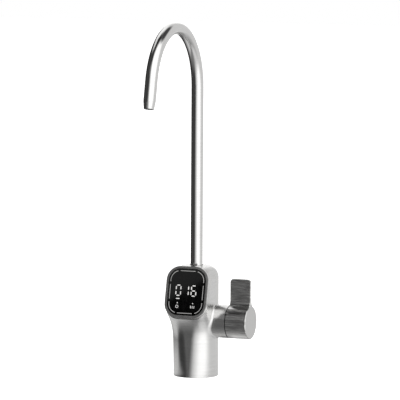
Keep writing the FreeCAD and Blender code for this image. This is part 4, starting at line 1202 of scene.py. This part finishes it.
def knob_ring(x, inset=0.0):
    """The knob's end view at a place along its axis, drawn in by inset."""
    near = min(x - KNOB_START, KNOB_END - x)
    drop = LEVER_CORNER - math.sqrt(max(LEVER_CORNER ** 2 - max(LEVER_CORNER - near, 0.0) ** 2, 0.0))
    top, side, hollow_r = LEVER_H - drop - inset, LEVER_HALF - inset, LEVER_ROOT_R + inset
    points = (
        arc((HOLLOW_Y, HOLLOW_Z), hollow_r, 2 + HOLLOW_TURN, 2, HOLLOW_STEPS)
        + straight((side, HOLLOW_Z), (side, top), BLADE_STEPS)
        + straight((side, top), (-side, top), TOP_STEPS)
        + straight((-side, top), (-side, HOLLOW_Z), BLADE_STEPS)
        + arc((-HOLLOW_Y, HOLLOW_Z), hollow_r, 0, -HOLLOW_TURN, HOLLOW_STEPS)
        + arc((0.0, 0.0), KNOB_R - inset, 2 - HOLLOW_TURN, 4 + HOLLOW_TURN, ROUND_STEPS)
    )
    return [(x, y, KNOB_Z + z) for y, z in points]


along = [KNOB_START + KNOB_START_EDGE] + [KNOB_START + step for step in NEAR_END]
along += [(KNOB_START + KNOB_END) / 2] + [KNOB_END - step for step in reversed(NEAR_END[1:])]
along += [KNOB_END - KNOB_EDGE]
rings = [knob_ring(KNOB_START, inset=KNOB_START_EDGE)]
rings += [knob_ring(x) for x in along]
rings.append(knob_ring(KNOB_END, inset=KNOB_EDGE))
knob_and_lever = bare_piece("knob_and_lever", stack_rings(rings))
print("rings along the knob:", len(rings))

# %% [markdown]
# The knob is hollow too. A wide bore goes over the cartridge's nut, a narrower one holds the brass adapter,
# and a small hole from below lets the set screw in. They are cut like the column's.

# %% Hollows of the knob
KNOB_BORE_R = 11.3 * MM
KNOB_FLOOR = KNOB_END - 10.4 * MM
ADAPTER_R = 7.0 * MM
SCREW_HOLE_R = 2.05 * MM
adapter_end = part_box("drive_adapter")[1].x
screw_at = right * (sum(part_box("set_screw_cap"), Vector()) / 2).x
screw_low = screw_at + up * (KNOB_Z - KNOB_R - PAST)
hollows = [
    rod("knob_bore", KNOB_BORE_R, boss_at + right * (KNOB_START - PAST), boss_at + right * KNOB_FLOOR),
    rod("adapter_bore", ADAPTER_R, boss_at + right * (KNOB_FLOOR - PAST), boss_at + right * adapter_end),
    rod("screw_hole", SCREW_HOLE_R, screw_low, screw_at + boss_at, SMALL_HOLE_STEPS),
]
combine(knob_and_lever, hollows)
dress(knob_and_lever, lever_nickel, "handle")
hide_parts("handle_knob")

# %% [markdown]
# The spout is one bent tube. A curve with a round bevel would make it, but its tip is drawn in and open, so
# its wall is built as rings: up the riser, round the arch, down the leg to the tip, over the lip with its
# fine edges, and back up the bore. At each station the ring lies square to the line.

# %% Spout
TUBE_R = 5.0 * MM
TUBE_WALL = 1.0 * MM
TIP_R = 4.1 * MM
TIP_BORE_R = 3.3 * MM
TUBE_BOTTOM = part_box("spout_tube")[0].z
ARCH_R = 50.7 * MM
ARCH_START = 241.0 * MM
ARCH_TURN = math.radians(167.5)
LEG_LENGTH = 23.3 * MM
TAPER_LENGTH = 6.5 * MM
LIP_EDGE = 0.12 * MM
RISER_STEPS, ARCH_STEPS, LEG_STEPS, TAPER_STEPS, LIP_STEPS = 24, 84, 3, 4, 3
TUBE_COUNT = 72
DOWN_LEG = Vector((0, -math.sin(ARCH_TURN), math.cos(ARCH_TURN)))


def spout_stations():
    """The spout's line as places with their turn from upright and their share of the way down the taper."""
    riser = ARCH_START - TUBE_BOTTOM
    stations = [(up * (TUBE_BOTTOM + riser * step / RISER_STEPS), 0.0, 0.0) for step in range(RISER_STEPS)]
    for step in range(ARCH_STEPS + 1):
        turned = ARCH_TURN * step / ARCH_STEPS
        y, z = ARCH_R * (math.cos(turned) - 1), ARCH_START + ARCH_R * math.sin(turned)
        stations.append((Vector((0, y, z)), turned, 0.0))
    leg_start = stations[-1][0]
    plain = LEG_LENGTH - TAPER_LENGTH
    for step in range(1, LEG_STEPS + 1):
        stations.append((leg_start + DOWN_LEG * plain * step / LEG_STEPS, ARCH_TURN, 0.0))
    for step in range(1, TAPER_STEPS + 1):
        share = step / TAPER_STEPS
        stations.append((leg_start + DOWN_LEG * (plain + TAPER_LENGTH * share), ARCH_TURN, share))
    return stations


def tube_ring(place, turned, radius):
    """A ring of this radius, square to the spout's line."""
    square = Matrix.Rotation(turned, 3, "X")
    return [place + square @ Vector((x, y, 0.0)) for x, y in arc((0.0, 0.0), radius, 0, 4, TUBE_COUNT)]


stations = spout_stations()
tip = stations.pop()[0]
bore_r = TUBE_R - TUBE_WALL
outside, inside = [], []
for place, turned, share in stations:
    outside.append(tube_ring(place, turned, TUBE_R + (TIP_R - TUBE_R) * share))
    inside.append(tube_ring(place, turned, bore_r + (TIP_BORE_R - bore_r) * share))
lip = [(TIP_R - inset, back) for inset, back in rounded(LIP_EDGE, LIP_STEPS)]
lip += [(TIP_BORE_R + inset, back) for inset, back in reversed(rounded(LIP_EDGE, LIP_STEPS))]
edge = [tube_ring(tip - DOWN_LEG * back, ARCH_TURN, radius) for radius, back in lip]
spout = bare_piece("spout", stack_rings(outside + edge + inside[::-1], joined=True))
dress(spout, spout_nickel, "spout", smooth_below=50)
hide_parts("spout_tube")

# %% [markdown]
# The spout's mouth is dark in the photograph. That dark is partly its bore, which is unplated and dull,
# and partly painted shade: one dark tone is laid on the bore and the lip's face, where shade falls in the
# mouth. Its bore lies nearer to the leg's middle line than the outside does, and a cross product with the
# leg's direction gives that distance. A second range keeps the dark tone to the last stretch before the
# tip, because further up the same straight line runs through the arch.

# %% Dark mouth of the spout
# the tone of the unplated bore, with painted shade for the mouth laid over the bore and the lip's face
MOUTH_UNPLATED_AND_SHADE_TONE = 0.05
MOUTH_EDGE = (TIP_R - 0.9 * LIP_EDGE, TIP_R - 1.5 * LIP_EDGE)
MOUTH_REACH = (18.0 * MM, 12.0 * MM)
tree = spout_nickel.node_tree
from_tip = add_vector_math(tree, "SUBTRACT", place_socket(tree), tip)
from_line = add_vector_math(tree, "CROSS_PRODUCT", from_tip, DOWN_LEG)
masks = [
    add_range(tree, add_vector_math(tree, "LENGTH", offset), *limits)
    for offset, limits in ((from_line, MOUTH_EDGE), (from_tip, MOUTH_REACH))
]
# lays the dark tone on: unplated bore and painted shade in the mouth
cover_tone(spout_nickel, add_math(tree, "MULTIPLY", *masks), grey(MOUTH_UNPLATED_AND_SHADE_TONE))
print("the dark mouth reaches", round(MOUTH_REACH[1] * 1000), "mm up from the tip")

# %% [markdown]
# Every other piece keeps its shape from the frame and takes a finish that fits what it is. A table of the
# record's material slots gives each slot its finish. Some nodes have one of their own: brass that is turned
# round the knob's axis, and the two rings that guide the spout and the knob.

# %% Finishes for the pieces of the frame
FINISHES = {
    "brushed_nickel": lever_nickel,
    "dark_bezel": bezel_finish,
    "black_glass": black_glass,
    "light_bars": light_bars,
    "lit_digits": lit_digits,
    "black_plastic": black_plastic,
    "circuit_board": circuit_board,
    "brass": brass_upright,
    "stainless": steel_turned,
    "black_rubber": black_rubber,
    "white_ceramic": white_ceramic,
}
OWN_FINISHES = dict.fromkeys(("cartridge_body", "cartridge_nut", "drive_adapter", "spindle"), brass_across)
# the knob's guide ring takes the painted shade of its gap
OWN_FINISHES.update(spout_guide_ring=grey_plastic, knob_guide_ring=gap_painted_shade)


def slot_of(node):
    """The material slot that the record gives a node."""
    for part in frame["record"]["subparts"]:
        if part.get("node") == node:
            return part.get("material_slot") or part.get("material")
    raise KeyError(node)


for name, node in nodes.items():
    finish = OWN_FINISHES.get(name) or FINISHES[slot_of(name)]
    if not node.material_slots:
        node.data.materials.append(finish)
    for slot in node.material_slots:
        slot.material = finish
print("finished nodes of the frame:", len(nodes))
